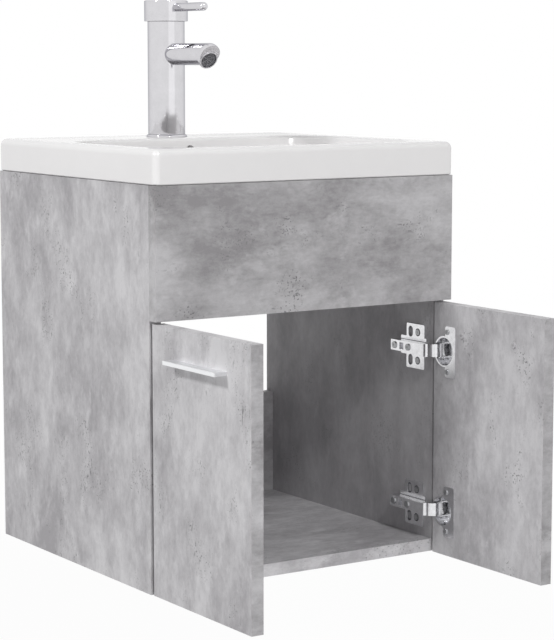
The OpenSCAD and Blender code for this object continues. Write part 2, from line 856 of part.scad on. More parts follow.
// Flange, threaded tube with overflow windows, and a spider that guides the plug. A groove
// under the nut ends its thread, and the trap goes on the outlet below
module waste_body() {
    tube_top = gasket_t + 0.5;
    bar_w = 3;
    dish_edge = 4;
    window = [8, 7];
    color(CHROME) at_drain() difference() {
        union() {
            translate([0, 0, gasket_t]) cylinder(r = flange_r, h = flange_h);
            translate([0, 0, -waste_l]) cylinder(r = outlet_r, h = waste_l + tube_top);
        }
        difference() {
            translate([0, 0, -waste_l - 1]) cylinder(r = waste_bore_r, h = waste_l + 20);
            translate([0, 0, spider_z]) cylinder(r = stem_r + 2, h = spider_h);
            for (a = [0, 90]) rotate(a) translate([-waste_bore_r - 1, -bar_w / 2, spider_z])
                cube([2 * waste_bore_r + 2, bar_w, 5]);
        }
        translate([0, 0, spider_z - 1]) cylinder(r = stem_r + run, h = spider_h + 2);
        translate([0, 0, gasket_t + 1])
            cylinder(r1 = waste_bore_r, r2 = flange_r - dish_edge, h = flange_h);
        for (a = [45, 225]) rotate(a) translate([0, -window[0] / 2, 1 - shell_t])
            cube([flange_r, window[0], window[1]]);
        translate([0, 0, waste_nut_z - groove_w - 0.5]) difference() {
            cylinder(r = outlet_r + 1, h = groove_w);
            translate([0, 0, -1]) cylinder(r = outlet_r - groove_deep, h = groove_w + 2);
        }
    }
}

// A flat washer under the flange and a tapered one under the bowl
module waste_gaskets() {
    inset = [1.5, 1, 3];
    color("#2b2b2d") at_drain() {
        difference() {
            cylinder(r = flange_r - inset[0], h = gasket_t);
            translate([0, 0, -1]) cylinder(r = outlet_r + seat, h = gasket_t + 2);
        }
        translate([0, 0, -shell_t - lower_gasket_t]) difference() {
            cylinder(r1 = flange_r - inset[2], r2 = flange_r - inset[1], h = lower_gasket_t);
            translate([0, 0, -1]) cylinder(r = outlet_r + seat, h = lower_gasket_t + 2);
        }
    }
}

module waste_nut() {
    nut_r = 31;
    ribs = 12;
    rib = [2.4, 5];
    color(CHROME) at_drain() translate([0, 0, waste_nut_z]) difference() {
        union() {
            cylinder(r = nut_r - 2, h = waste_nut_h);
            for (i = [0 : ribs - 1]) rotate(360 * i / ribs)
                translate([nut_r - rib[0], -rib[1] / 2, 0])
                    cube([rib[0], rib[1], waste_nut_h]);
        }
        translate([0, 0, -1]) cylinder(r = outlet_r + seat, h = waste_nut_h + 2);
    }
}

// A domed cap on a stem. It lies closed on the flange and rises by its travel
module plug() {
    cap_r = 29;
    cap_t = 3;
    seat_z = gasket_t + flange_h + 0.3;
    disc_h = 6;
    stem_z = spider_z + 3 - plug_travel;
    dome_r = 180;
    color(CHROME) at_drain() {
        intersection() {
            translate([0, 0, seat_z]) cylinder(r = cap_r, h = 2 * cap_t);
            translate([0, 0, seat_z + cap_t + 2 - dome_r]) sphere(r = dome_r, $fn = 128);
        }
        translate([0, 0, seat_z - disc_h]) cylinder(r = waste_bore_r - 3, h = disc_h + 0.1);
        translate([0, 0, stem_z]) cylinder(r = stem_r, h = seat_z - stem_z);
    }
}

// Tap, from its axis on the deck up
module at_tap() {
    translate([0, tap_y, rim_z]) children();
}

// A round column with a level spout. Its round end is cut on a slant, with a short collar
// that holds the aerator
module tap_body() {
    ring_t = 3;
    top_cone = 2;
    collar_wall = 1;
    channel_r = 7;
    duct_r = 2.5;
    duct_y = -cartridge_r + duct_r + 2;
    inlet_l = 18;
    inlet_y = -4;
    color(CHROME) at_tap() difference() {
        union() {
            translate([0, 0, ring_t]) cylinder(r = tap_r, h = tap_body_h - ring_t - top_cone);
            translate([0, 0, tap_body_h - top_cone])
                cylinder(r1 = tap_r, r2 = tap_r - 0.6, h = top_cone);
            difference() {
                union() {
                    translate([0, 0, spout_h]) rod_y(spout_r, spout_r - spout_reach, 0);
                    translate([0, spout_r - spout_reach, spout_h]) sphere(r = spout_r);
                }
                at_aerator() translate([0, 0, -spout_r * 3])
                    cylinder(r = spout_r * 1.6, h = spout_r * 3);
            }
            at_aerator() cylinder(r = aerator_r + collar_wall, h = aerator_l + 4);
        }
        translate([0, 0, tap_body_h - cartridge_h]) cylinder(r = cartridge_r + 0.1, h = cartridge_h + 1);
        translate([0, 0, spout_h]) {
            rod_y(channel_r, -aerator_y + 1, duct_y + duct_r - 1);
            translate([0, duct_y, 0])
                cylinder(r = duct_r, h = tap_body_h - cartridge_h - spout_h + 1);
        }
        at_aerator() translate([0, 0, -1]) cylinder(r = aerator_r, h = aerator_l + 3);
        translate([0, stud_back, 0]) cylinder(r = stud_r + seat, h = stud_in + 0.5);
        for (x = [-inlet_x, inlet_x]) translate([x, inlet_y, 0]) cylinder(r = inlet_r, h = inlet_l);
    }
}

// The middle of the aerator's seat under the spout's end, Z up into the spout
module at_aerator() {
    slant = 57;
    translate([0, -aerator_y, spout_h - 0.53 * spout_r]) rotate([-slant, 0, 0]) children();
}

module tap_aerator() {
    collar = 1.2;
    mouth_r = aerator_r - 0.8;
    color(CHROME) at_tap() at_aerator() difference() {
        union() {
            translate([0, 0, -collar]) cylinder(r = aerator_r + 0.7, h = collar);
            cylinder(r = aerator_r - seat, h = aerator_l);
        }
        translate([0, 0, -collar - 1]) cylinder(r = mouth_r, h = collar + 3);
    }
}

module tap_base_ring() {
    color(CHROME) at_tap() difference() {
        union() {
            cylinder(r = tap_r + 2.2, h = 1.6);
            translate([0, 0, 1.6]) cylinder(r1 = tap_r + 2.2, r2 = tap_r + 0.6, h = 1.4);
        }
        translate([0, 0, -1]) cylinder(r = tap_hole_r - 2, h = 5);
    }
}

// The sealed cartridge in the top of the body
module tap_cartridge() {
    color("#e8e6e0") at_tap() {
        translate([0, 0, tap_body_h - cartridge_h]) cylinder(r = cartridge_r, h = cartridge_h - 6);
        translate([0, 0, tap_body_h - 6]) cylinder(r = cartridge_r - 1.5, h = 2);
    }
}

// The turning core: a disc with two ears and the cross pin that the head lifts on
module tap_core() {
    ear_t = 2;
    ear_half = 3.5;
    tongue = 3.2;
    color(NICKEL) at_tap() {
        translate([0, 0, tap_body_h - 4]) cylinder(r = core_r, h = 2);
        for (x = [-tongue - ear_t, tongue]) translate([x, -ear_half, tap_body_h - 2])
            cube([ear_t, 2 * ear_half, pivot_h + 5]);
        translate([0, 0, head_pivot_z - rim_z]) rod_x(1.5, -tongue - 0.1, tongue + 0.1);
    }
}

// A cap with a skirt round the body's top, and a tongue on the core's cross pin
module tap_head() {
    roof = 6;
    eye = 3.2;
    tongue_half = 3;
    color(CHROME) translate([0, tap_y, head_z]) difference() {
        union() {
            difference() {
                union() {
                    cylinder(r = head_r, h = head_h - 1.5);
                    translate([0, 0, head_h - 1.5]) cylinder(r1 = head_r, r2 = head_r - 1.5, h = 1.5);
                }
                translate([0, 0, -1]) cylinder(r = head_r - head_wall, h = head_h - roof + 1);
            }
            translate([0, 0, pivot_h]) rod_x(eye, -tongue_half, tongue_half);
            translate([0, 0, lever_h])
                rod_y(lever_r + 1.6, head_wall - head_r - 0.5, lever_seat_y + 1.5);
            translate([-tongue_half, -eye, pivot_h])
                cube([2 * tongue_half, 2 * eye, head_h - roof - pivot_h + 1]);
        }
        translate([0, 0, pivot_h]) rod_x(1.5 + run, -tongue_half - 1, tongue_half + 1);
        translate([0, 0, lever_h]) rod_y(lever_r + seat, -head_r - 1, lever_seat_y);
    }
}

module tap_lever() {
    color(CHROME) translate([0, tap_y, head_z + lever_h]) {
        rod_y(lever_r, lever_r - lever_reach, lever_seat_y - 0.1);
        translate([0, lever_r - lever_reach, 0]) sphere(r = lever_r);
    }
}

// The fixing under the deck: a stud, horseshoe washers that let the hoses by, and a nut
module tap_stud() {
    color(NICKEL) at_tap() translate([0, stud_back, -stud_out])
        cylinder(r = stud_r, h = stud_out + stud_in);
}

module horseshoe(r, t) {
    linear_extrude(t) difference() {
        circle(r);
        translate([0, -4]) circle(tap_hole_r - 4);
        translate([-tap_hole_r + 4, -r - 5]) square([2 * tap_hole_r - 8, r + 1]);
        translate([0, stud_back]) circle(stud_r + seat);
    }
}

module tap_washers() {
    rubber_t = 3;
    steel_t = 1.6;
    color("#3a3a3c") at_tap() {
        translate([0, 0, -shell_t - rubber_t]) horseshoe(23, rubber_t);
        translate([0, 0, -shell_t - rubber_t - steel_t - 0.05]) horseshoe(22, steel_t);
    }
}

module tap_nut() {
    color(NICKEL) at_tap() translate([0, stud_back, -shell_t - 4.65 - 6.5]) difference() {
        cylinder(r = 7.5, h = 6.5, $fn = 6);
        translate([0, 0, -1]) cylinder(r = stud_r + seat, h = 9);
    }
}

side_panel(LEFT);  // side_panel_left
side_panel(RIGHT);  // side_panel_right
bottom_panel();
front_fascia();
lower_back_panel();
hanging_rail();
cam_locks();
cam_bolts();
dowels();
door(LEFT);  // door_left
door(RIGHT);  // door_right
handle(LEFT);  // handle_left
handle(RIGHT);  // handle_right
handle_screws(LEFT);  // handle_screws_left
handle_screws(RIGHT);  // handle_screws_right
hinge_plate(LEFT, 0);  // hinge_plate_left_lower
hinge_plate(LEFT, 1);  // hinge_plate_left_upper
hinge_plate(RIGHT, 0);  // hinge_plate_right_lower
hinge_plate(RIGHT, 1);  // hinge_plate_right_upper
hinge_arm(LEFT, 0);  // hinge_arm_left_lower
hinge_arm(LEFT, 1);  // hinge_arm_left_upper
hinge_arm(RIGHT, 0);  // hinge_arm_right_lower
hinge_arm(RIGHT, 1);  // hinge_arm_right_upper
outer_link(LEFT, 0);  // outer_link_left_lower
outer_link(LEFT, 1);  // outer_link_left_upper
outer_link(RIGHT, 0);  // outer_link_right_lower
outer_link(RIGHT, 1);  // outer_link_right_upper
inner_link(LEFT, 0);  // inner_link_left_lower
inner_link(LEFT, 1);  // inner_link_left_upper
inner_link(RIGHT, 0);  // inner_link_right_lower
inner_link(RIGHT, 1);  // inner_link_right_upper
hinge_cup(LEFT, 0);  // hinge_cup_left_lower
hinge_cup(LEFT, 1);  // hinge_cup_left_upper
hinge_cup(RIGHT, 0);  // hinge_cup_right_lower
hinge_cup(RIGHT, 1);  // hinge_cup_right_upper
hinge_arm_pins();
cup_pins(LEFT);  // cup_pins_left
cup_pins(RIGHT);  // cup_pins_right
inner_link_pins(LEFT);  // inner_link_pins_left
inner_link_pins(RIGHT);  // inner_link_pins_right
hinge_plate_screws();
hinge_arm_screws();
cup_screws(LEFT);  // cup_screws_left
cup_screws(RIGHT);  // cup_screws_right
basin();
silicone_bead();
waste_body();
waste_gaskets();
waste_nut();
plug();
tap_body();
tap_base_ring();
tap_aerator();
tap_cartridge();
tap_core();
tap_head();
tap_lever();
tap_stud();
tap_washers();
tap_nut();
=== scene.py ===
"""Dresses the wall-hung vanity unit: boards, hinges, basin, waste and tap.

Lengths in the classes are millimetres, and Blender's own are metres. The frame is the
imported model's: X to the right, Y into the wall, Z up, doors open at rest.
"""

import json
import logging
import math
from dataclasses import dataclass, field
from enum import Enum
from typing import Any, Callable, Iterable, Sequence

import bmesh
import bpy
from mathutils import Matrix, Vector

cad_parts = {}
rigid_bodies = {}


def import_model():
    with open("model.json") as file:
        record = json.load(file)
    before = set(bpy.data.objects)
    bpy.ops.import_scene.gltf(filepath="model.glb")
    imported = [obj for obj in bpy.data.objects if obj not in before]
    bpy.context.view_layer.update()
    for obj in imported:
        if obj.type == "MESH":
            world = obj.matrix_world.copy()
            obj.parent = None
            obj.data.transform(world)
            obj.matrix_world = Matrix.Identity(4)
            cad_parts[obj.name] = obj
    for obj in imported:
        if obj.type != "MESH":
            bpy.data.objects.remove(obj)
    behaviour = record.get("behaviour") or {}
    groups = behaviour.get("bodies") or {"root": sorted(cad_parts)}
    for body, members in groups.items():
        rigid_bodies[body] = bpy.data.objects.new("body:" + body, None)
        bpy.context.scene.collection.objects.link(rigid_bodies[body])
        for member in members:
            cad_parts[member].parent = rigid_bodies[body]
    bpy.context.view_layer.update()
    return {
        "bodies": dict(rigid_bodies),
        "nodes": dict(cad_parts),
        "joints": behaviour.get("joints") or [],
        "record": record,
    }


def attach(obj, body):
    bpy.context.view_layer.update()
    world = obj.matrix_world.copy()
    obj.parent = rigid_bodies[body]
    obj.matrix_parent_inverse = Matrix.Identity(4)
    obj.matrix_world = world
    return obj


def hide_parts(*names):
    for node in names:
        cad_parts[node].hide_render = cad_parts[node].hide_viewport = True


LOG = logging.getLogger("vanity")
MM = 0.001
# a normal with a smaller share than this along a direction runs across it
ALONG = 0.5
# degrees: sharper edges stay sharp on smooth bodies
CREASE = 32.0
# degrees: sharper edges of copied pieces are bevelled
BEVELLED = 35.0
# degrees: a corner whose half is wider has nothing to round
STRAIGHT = 89.5
# degrees: facets that differ by less are one flat face
FLAT = 0.6
# metres: corners that are nearer are one
WELD = 1e-6
# millimetres: a smaller radius lies on the axis
ON_AXIS = 1e-6
# facets round a turned body, where the body doesn't say its own
SIDES = 96

Pair = tuple[float, float]
Triple = tuple[float, float, float]
Ring = list[Vector]
Piece = bpy.types.Object
Body = bmesh.types.BMesh
Face = bpy.types.MeshPolygon
Tree = bpy.types.NodeTree
Socket = bpy.types.NodeSocket
Sockets = dict[str, Any]


def linear(colour: str) -> tuple[float, float, float, float]:
    """Turns an sRGB hex colour into Blender's linear one.

    Args:
        colour: Six hex digits after a hash.

    Returns:
        Linear red, green and blue, and an alpha of 1.
    """
    parts = [int(colour[i : i + 2], 16) / 255 for i in (1, 3, 5)]
    red, green, blue = (
        c / 12.92 if c <= 0.04045 else ((c + 0.055) / 1.055) ** 2.4 for c in parts
    )
    return red, green, blue, 1.0


def per_mm(size: float) -> float:
    """The scale at which a texture's features are about this many millimetres."""
    return 1 / (size * MM)


def add_node(
    tree: Tree, kind: str, inputs: dict[str | int, Any] | None = None, **settings: Any
) -> bpy.types.Node:
    """Adds a shader node with its settings, values and links.

    Args:
        tree: The tree to add to.
        kind: Blender's name of the node's type, after ShaderNode.
        inputs: A value, or another node's output to link, per input.
        **settings: Properties of the node itself.

    Returns:
        The new node.
    """
    node = tree.nodes.new(f"ShaderNode{kind}")
    for key, value in settings.items():
        setattr(node, key, value)
    for key, value in (inputs or {}).items():
        if isinstance(value, Socket):
            tree.links.new(value, node.inputs[key])
        else:
            node.inputs[key].default_value = value
    return node


def emptied(owner: bpy.types.Material | bpy.types.World) -> Tree:
    """Switches a shader tree on and empties it.

    Args:
        owner: The material or the world that has it.

    Returns:
        The tree.
    """
    owner.use_nodes = True
    owner.node_tree.nodes.clear()
    return owner.node_tree


def placed(name: str, data: bpy.types.ID) -> Piece:
    """Makes an object of some data and puts it in the scene.

    Args:
        name: The object's name.
        data: The mesh, lamp or camera that it shows.

    Returns:
        The object.
    """
    made = bpy.data.objects.new(name, data)
    bpy.context.scene.collection.objects.link(made)
    return made


class Grain(Enum):
    """The way a pattern's streaks run, as how much each axis is stretched."""

    UPRIGHT = (0.0, 0.0, 1.0)
    LEVEL = (1.0, 0.0, 0.0)
    DEEP = (0.0, 1.0, 0.0)

    def scale(self, stretch: float) -> Vector:
        """The mapping's scale that draws a pattern out by stretch along the grain."""
        return Vector(1 + (1 / stretch - 1) * along for along in self.value)


@dataclass(frozen=True)
class Layer:
    """One cloud of tone in a pattern, with its size in millimetres."""

    size: float
    stretch: float
    weight: float
    detail: float = 3.0
    rough: float = 0.55
    warp: float = 0.0


# a mark's cloud, the levels where it starts and is full, and how much shows there
Mark = tuple[Layer, float, float, float]


@dataclass(frozen=True)
class Finish:
    """A material and the way its surface was made."""

    name: str

    def patterns(self, tree: Tree) -> Sockets:
        """A value or an output for each socket of the surface shader."""
        raise NotImplementedError

    def tone(self, tree: Tree, layers: Sequence[Layer], grain: Grain) -> Socket:
        """Adds layers of noise to one value round a half.

        Args:
            tree: The material's tree.
            layers: The clouds to add, each with its size and weight.
            grain: The way the clouds are drawn out.

        Returns:
            The output that carries the sum.
        """
        place = add_node(tree, "TexCoord").outputs["Object"]
        total: Any = 0.5 - sum(layer.weight for layer in layers) / 2
        for layer in layers:
            mapped = add_node(
                tree, "Mapping", {"Vector": place, "Scale": grain.scale(layer.stretch)}
            )
            cloud = add_node(
                tree,
                "TexNoise",
                {
                    "Vector": mapped.outputs["Vector"],
                    "Scale": per_mm(layer.size),
                    "Detail": layer.detail,
                    "Roughness": layer.rough,
                    "Distortion": layer.warp,
                },
            )
            total = add_node(
                tree,
                "Math",
                {0: cloud.outputs["Fac"], 1: layer.weight, 2: total},
                operation="MULTIPLY_ADD",
            ).outputs["Value"]
        return total

    def coat(
        self,
        tree: Tree,
        tone: Socket,
        colours: tuple[str, str],
        gloss: Pair,
        strength: float,
        depth: float,
        height: Socket | None = None,
    ) -> Sockets:
        """Colour and gloss that follow a tone, and the relief if it has a depth.

        Args:
            tree: The material's tree.
            tone: The value to follow, from 0 to 1.
            colours: The colours at 0 and at 1.
            gloss: The roughness at 0 and at 1.
            strength: How much of the relief shows.
            depth: The relief's depth in millimetres.
            height: The relief's own pattern, where it isn't the tone.

        Returns:
            The outputs for the surface shader's sockets.
        """
        colour = add_node(
            tree,
            "Mix",
            {0: tone, 6: linear(colours[0]), 7: linear(colours[1])},
            data_type="RGBA",
        )
        rough = add_node(
            tree, "MapRange", {"Value": tone, "To Min": gloss[0], "To Max": gloss[1]}
        )
        sockets = {"Base Color": colour.outputs[2], "Roughness": rough.outputs[0]}
        if depth:
            bump = {"Height": tone if height is None else height, "Strength": strength}
            bump["Distance"] = depth * MM
            sockets["Normal"] = add_node(tree, "Bump", bump).outputs[0]
        return sockets

    def material(self) -> bpy.types.Material:
        """Makes the finished material once and then reuses it.

        Returns:
            The material.
        """
        made = bpy.data.materials.get(self.name)
        if made:
            return made
        made = bpy.data.materials.new(self.name)
        tree = emptied(made)
        shader = add_node(tree, "BsdfPrincipled", self.patterns(tree))
        add_node(tree, "OutputMaterial", {"Surface": shader.outputs["BSDF"]})
        return made


@dataclass(frozen=True)
class ConcreteDecor(Finish):
    """Melamine-faced chipboard with a printed concrete decor.

    The paper's print gives soft trowel smears, pale lime patches and small dark pits.
    The cured resin over it gives a dull sheen with a faint orange-peel relief.
    """

    grain: Grain = Grain.UPRIGHT
    dark: str = "#a8a6a9"
    light: str = "#d7d6d8"
    lime: str = "#e3e2e4"
    pit: str = "#7e7d7f"
    clouds: tuple[Layer, ...] = (
        Layer(150, 1.5, 1.8, 2.0, 0.5),  # darker and paler fields of the pour
        Layer(52, 1.9, 1.9, 5.0, 0.62, 0.3),  # trowel smears with ragged rims
        Layer(18, 1.6, 1.15, 4.0, 0.66, 0.3),
        Layer(6, 1.4, 0.65, 3.0, 0.7, 0.2),
        Layer(2.6, 4.5, 0.34, 2.0, 0.6),  # drawn streaks
        Layer(1.4, 1.0, 0.3, 2.0, 0.7),  # sand, drawn twice as coarse to show
    )
    patches: Mark = (Layer(30, 1.8, 1.0, 5.0, 0.66, 0.2), 0.53, 0.72, 0.5)
    crowds: Mark = (Layer(48, 1.4, 1.0), 0.52, 0.68, 1.0)
    # pits of about 1 mm, drawn at 2.4 mm with soft rims so that they show
    holes: Mark = (Layer(2.4, 1.0, 1.0, 1.0, 0.5), 0.61, 0.71, 1.0)
    cracks: Mark = (Layer(4.2, 3.2, 1.0, 2.0, 0.6), 0.62, 0.74, 1.0)
    resin: Layer = Layer(0.9, 1.0, 1.0, 2.0)
    gloss: Pair = (0.62, 0.5)
    relief: float = 0.05
    shows: float = 0.25
    ior: float = 1.5

    def patterns(self, tree: Tree) -> Sockets:
        """Smears, lime patches and pits, with sheen and relief that follow them.

        Args:
            tree: The material's tree.

        Returns:
            Values and outputs for the surface shader's sockets.
        """
        tone = self.tone(tree, self.clouds, self.grain)
        resin = self.tone(tree, (self.resin,), self.grain)
        colours = (self.dark, self.light)
        sockets = self.coat(
            tree, tone, colours, self.gloss, self.shows, self.relief, resin
        )
        patches, crowds, holes, cracks = (
            self.mask(tree, mark)
            for mark in (self.patches, self.crowds, self.holes, self.cracks)
        )
        pits = holes
        for other, how in ((cracks, "MAXIMUM"), (crowds, "MULTIPLY")):
            pits = add_node(tree, "Math", {0: pits, 1: other}, operation=how).outputs[0]
        for share, colour in ((patches, self.lime), (pits, self.pit)):
            sockets["Base Color"] = add_node(
                tree,
                "Mix",
                {0: share, 6: sockets["Base Color"], 7: linear(colour)},
                data_type="RGBA",
            ).outputs[2]
        return sockets | {"IOR": self.ior}

    def mask(self, tree: Tree, mark: Mark) -> Socket:
        """The places where a mark's cloud stands above a level, with soft rims.

        Args:
            tree: The material's tree.
            mark: The mark.

        Returns:
            How much of the mark shows.
        """
        cloud, low, high, full = mark
        tone = self.tone(tree, (cloud,), self.grain)
        return add_node(
            tree,
            "MapRange",
            {"Value": tone, "From Min": low, "From Max": high, "To Max": full},
            interpolation_type="SMOOTHSTEP",
        ).outputs[0]


@dataclass(frozen=True)
class GlazedCeramic(Finish):
    """Vitreous china, dipped and fired: a deep white gloss with a slow wave."""

    colour: str = "#f2f1f1"
    shade: str = "#eeeded"
    pools: tuple[Layer, ...] = (Layer(60, 1.0, 1.2), Layer(9, 1.0, 0.4))
    wave: Layer = Layer(22, 1.0, 1.0, 1.0)
    gloss: Pair = (0.1, 0.16)
    relief: float = 0.2
    shows: float = 0.15
    ior: float = 1.52

    def patterns(self, tree: Tree) -> Sockets:
        """A glaze that pools by a hair and waves over about 20 mm.

        Args:
            tree: The material's tree.

        Returns:
            Values and outputs for the surface shader's sockets.
        """
        tone = self.tone(tree, self.pools, Grain.LEVEL)
        wave = self.tone(tree, (self.wave,), Grain.LEVEL)
        colours = (self.shade, self.colour)
        sockets = self.coat(
            tree, tone, colours, self.gloss, self.shows, self.relief, wave
        )
        return sockets | {"IOR": self.ior}


@dataclass(frozen=True)
class Mottled(Finish):
    """A moulded, lacquered, turned or metal surface, with marks in two sizes."""

    colour: str = "#303032"
    other: str = "#262628"
    gloss: Pair = (0.5, 0.65)
    mark: float = 4.0
    stretch: float = 1.0
    grain: Grain = Grain.LEVEL
    relief: float = 0.03
    shows: float = 0.4
    # how many times smaller the finer marks are, and the weight of both sizes
    finer: float = 5.0
    weights: Pair = (1.0, 0.6)
    ior: float = 1.5
    edge: str = "#ffffff"
    metallic: float = 0.0

    def patterns(self, tree: Tree) -> Sockets:
        """Faint marks of two sizes in colour and gloss, and in relief if it has any.

        Args:
            tree: The material's tree.

        Returns:
            Values and outputs for the surface shader's sockets.
        """
        marks = (
            Layer(self.mark, self.stretch, self.weights[0], 3.0),
            Layer(self.mark / self.finer, self.stretch, self.weights[1], 2.0),
        )
        tone = self.tone(tree, marks, self.grain)
        colours, gloss = (self.other, self.colour), self.gloss[::-1]
        sockets = self.coat(tree, tone, colours, gloss, self.shows, self.relief)
        body = {"Metallic": self.metallic, "Specular Tint": linear(self.edge)}
        return sockets | body | {"IOR": self.ior}


@dataclass(frozen=True)
class Metal(Mottled):
    """A metal surface that was polished, plated, rolled or brushed along its grain."""

    colour: str = "#dcdbde"
    other: str = "#d2d1d4"
    gloss: Pair = (0.08, 0.12)
    mark: float = 14.0
    relief: float = 0.0
    shows: float = 0.3
    finer: float = 6.0
    weights: Pair = (1.4, 0.7)
    metallic: float = 1.0


# printed, pressed melamine: dull concrete look, with the streaks up or along the board
DECOR_UPRIGHT = ConcreteDecor("concrete_decor_melamine_upright", Grain.UPRIGHT)
DECOR_LEVEL = ConcreteDecor("concrete_decor_melamine_level", Grain.LEVEL)
# the same print, darker, for the fascia and the doors' edge bands
DECOR_FASCIA = ConcreteDecor(
    "concrete_decor_melamine_fascia",
    Grain.LEVEL,
    "#959395",
    "#c6c5c7",
    "#d3d2d4",
    "#747375",
)
# painted shade: the same print, plainer and a little darker, for the faces inside the
# cabinet
DECOR_INNER_PAINTED_SHADE = ConcreteDecor(
    "concrete_decor_melamine_inner_painted_shade",
    Grain.UPRIGHT,
    "#a3a1a4",
    "#c3c2c4",
    "#cac9cb",
    "#959496",
)
# sanitary ware: white and mirror-like at a glance
CERAMIC = GlazedCeramic("glazed_sanitary_ceramic")
# bright chromium over brass: a mirror, a little grey beside white, also at its rims
CHROME = Metal("polished_chromium_plate", edge="#c4c4c8")
# nickel on pressed steel: a softer mirror with rolling marks
NICKEL = Metal(
    "nickel_plated_pressed_steel", "#ececee", "#dcdcde", (0.14, 0.24), 5.0, 3.0
)
# painted shade in the hinge plates' pressed recesses: dark, dull nickel
PAINTED_RECESS_SHADE = Metal("dull_nickel_with_painted_recess_shade", "#6f6f72", "#5e5e61", (0.3, 0.4), 3.0)
# zinc on screws: duller, with a fine mottle
ZINC = Metal("zinc_plated_screw_steel", "#bfc0c1", "#a9aaac", (0.28, 0.4), 2.5)
# screw heads lacquered in the board's grey, so that they hardly show on the door
LACQUER = Mottled(
    "grey_lacquered_screw_steel", "#c6c5c7", "#bab9bb", (0.45, 0.55), 3.0, relief=0.01
)
# extruded, brushed and anodised: pale and silky along the handle
ALUMINIUM = Metal(
    "anodised_brushed_aluminium",
    "#f6f7f8",
    "#eeeff1",
    (0.3, 0.42),
    1.2,
    40.0,
    Grain.DEEP,
    0.02,
)
# cured bath sealant: milky and satin
SILICONE = Mottled(
    "cured_silicone_sealant", "#d4d4d3", "#c9c9c8", (0.3, 0.42), 6.0, ior=1.41
)
# moulded rubber: nearly black and dull
RUBBER = Mottled("moulded_black_rubber")
# turned beech: straight grain with short flecks
BEECH = Mottled(
    "turned_beech", "#d2b184", "#b8925f", (0.55, 0.7), 1.6, 9.0, relief=0.08
)
# the aerator's grey acetal sieve, with painted shade in the same dark grey on the floor
# behind it, so that the mouth looks open
SIEVE_AND_PAINTED_SHADE = Mottled(
    "moulded_grey_acetal_and_painted_shade", "#8d8d91", "#7c7c80", (0.2, 0.3), 3.0, ior=1.48
)
# moulded acetal housing of the cartridge: cream and satin
ACETAL = Mottled("moulded_acetal", "#e9e6de", "#dedbd2", (0.3, 0.4), 8.0, ior=1.48)


def rounded(corners: Sequence[Triple], steps: int = 6) -> list[Pair]:
    """A closed outline with its corners rounded.

    Args:
        corners: x, y and the radius to round that corner with.
        steps: Chords per corner.

    Returns:
        The outline's points in the order of the corners.
    """
    outline: list[Pair] = []
    for i, (x, y, radius) in enumerate(corners):
        here = Vector((x, y))
        before = (Vector(corners[i - 1][:2]) - here).normalized()
        after = (Vector(corners[(i + 1) % len(corners)][:2]) - here).normalized()
        half = before.angle(after, math.pi) / 2
        if radius <= 0 or half > math.radians(STRAIGHT):
            outline.append((x, y))
            continue
        middle = here + (before + after).normalized() * radius / math.sin(half)
        first = here + before * radius / math.tan(half) - middle
        last = here + after * radius / math.tan(half) - middle
        sweep = first.angle_signed(last)
        for k in range(steps + 1):
            spot = middle + Matrix.Rotation(-sweep * k / steps, 2) @ first
            outline.append((spot.x, spot.y))
    return outline


def turned(outline: Sequence[Pair], sides: int = SIDES) -> Body:
    """A body turned about Z from a closed half section.

    Args:
        outline: Radius and height of each point, in millimetres.
        sides: How many facets round the axis.

    Returns:
        The closed body in metres.
    """
    bm = bmesh.new()
    turns = [math.tau * k / sides for k in range(sides)]
    columns: list[list[bmesh.types.BMVert]] = []
    for radius, height in outline:
        if radius < ON_AXIS:
            columns.append([bm.verts.new((0, 0, height * MM))] * sides)
            continue
        columns.append(
            [
                bm.verts.new(
                    (radius * math.cos(t) * MM, radius * math.sin(t) * MM, height * MM)
                )
                for t in turns
            ]
        )
    for here, there in zip(columns, columns[1:] + columns[:1]):
        for k in range(sides):
            corners = [here[k], here[k - 1], there[k - 1], there[k]]
            loop = list(dict.fromkeys(corners))
            if len(loop) > 2:
                bm.faces.new(loop)
    bmesh.ops.recalc_face_normals(bm, faces=bm.faces)
    return bm


def moved(x: float, y: float, z: float) -> Matrix:
    """A move by so many millimetres."""
    return Matrix.Translation(Vector((x, y, z)) * MM)


def tilted(degrees: float) -> Matrix:
    """A turn about X."""
    return Matrix.Rotation(math.radians(degrees), 4, "X")


def rod(radius: float, low: float, high: float, sides: int = SIDES) -> Body:
    """A straight round body about Z between two heights."""
    return turned([(0, low), (radius, low), (radius, high), (0, high)], sides)


def domed(
    radius: float, foot: float, reach: float, steps: int, sides: int = SIDES
) -> Body:
    """A round bar about Z with a domed end.

    Args:
        radius: The bar's and the dome's radius, in millimetres.
        foot: The height where it starts.
        reach: The height of the dome's top.
        steps: Chords of the dome's section.
        sides: How many facets round the axis.

    Returns:
        The closed body in metres.
    """
    outline = [(0.0, foot), (radius, foot)]
    for k in range(steps):
        turn = math.radians(90 * k / steps)
        height = reach - radius + radius * math.sin(turn)
        outline.append((radius * math.cos(turn), height))
    return turned([*outline, (0.0, reach)], sides)


def drawn(outline: Sequence[Pair], start: float, end: float) -> Body:
    """A profile drawn along Y.

    Args:
        outline: x and z of the section, in millimetres.
        start: The y where it starts.
        end: The y where it ends.

    Returns:
        The closed body in metres.
    """
    bm = bmesh.new()
    ends = [
        [bm.verts.new((x * MM, y * MM, z * MM)) for x, z in outline]
        for y in (start, end)
    ]
    for side in ends:
        bm.faces.new(side)
    count = len(outline)
    for k in range(count):
        j = (k + 1) % count
        bm.faces.new((ends[0][k], ends[0][j], ends[1][j], ends[1][k]))
    bmesh.ops.recalc_face_normals(bm, faces=bm.faces)
    return bm


def copied(node: str, frame: dict[str, Any]) -> Body:
    """A node's mesh with its flat faces whole again, ready to be edged.

    Args:
        node: The CAD node.
        frame: What the loader gave.

    Returns:
        The clean mesh in metres.
    """
    bm = bmesh.new()
    bm.from_mesh(frame["nodes"][node].data)
    bmesh.ops.remove_doubles(bm, verts=bm.verts, dist=WELD)
    bmesh.ops.dissolve_limit(
        bm, angle_limit=math.radians(FLAT), verts=bm.verts, edges=bm.edges
    )
    return bm


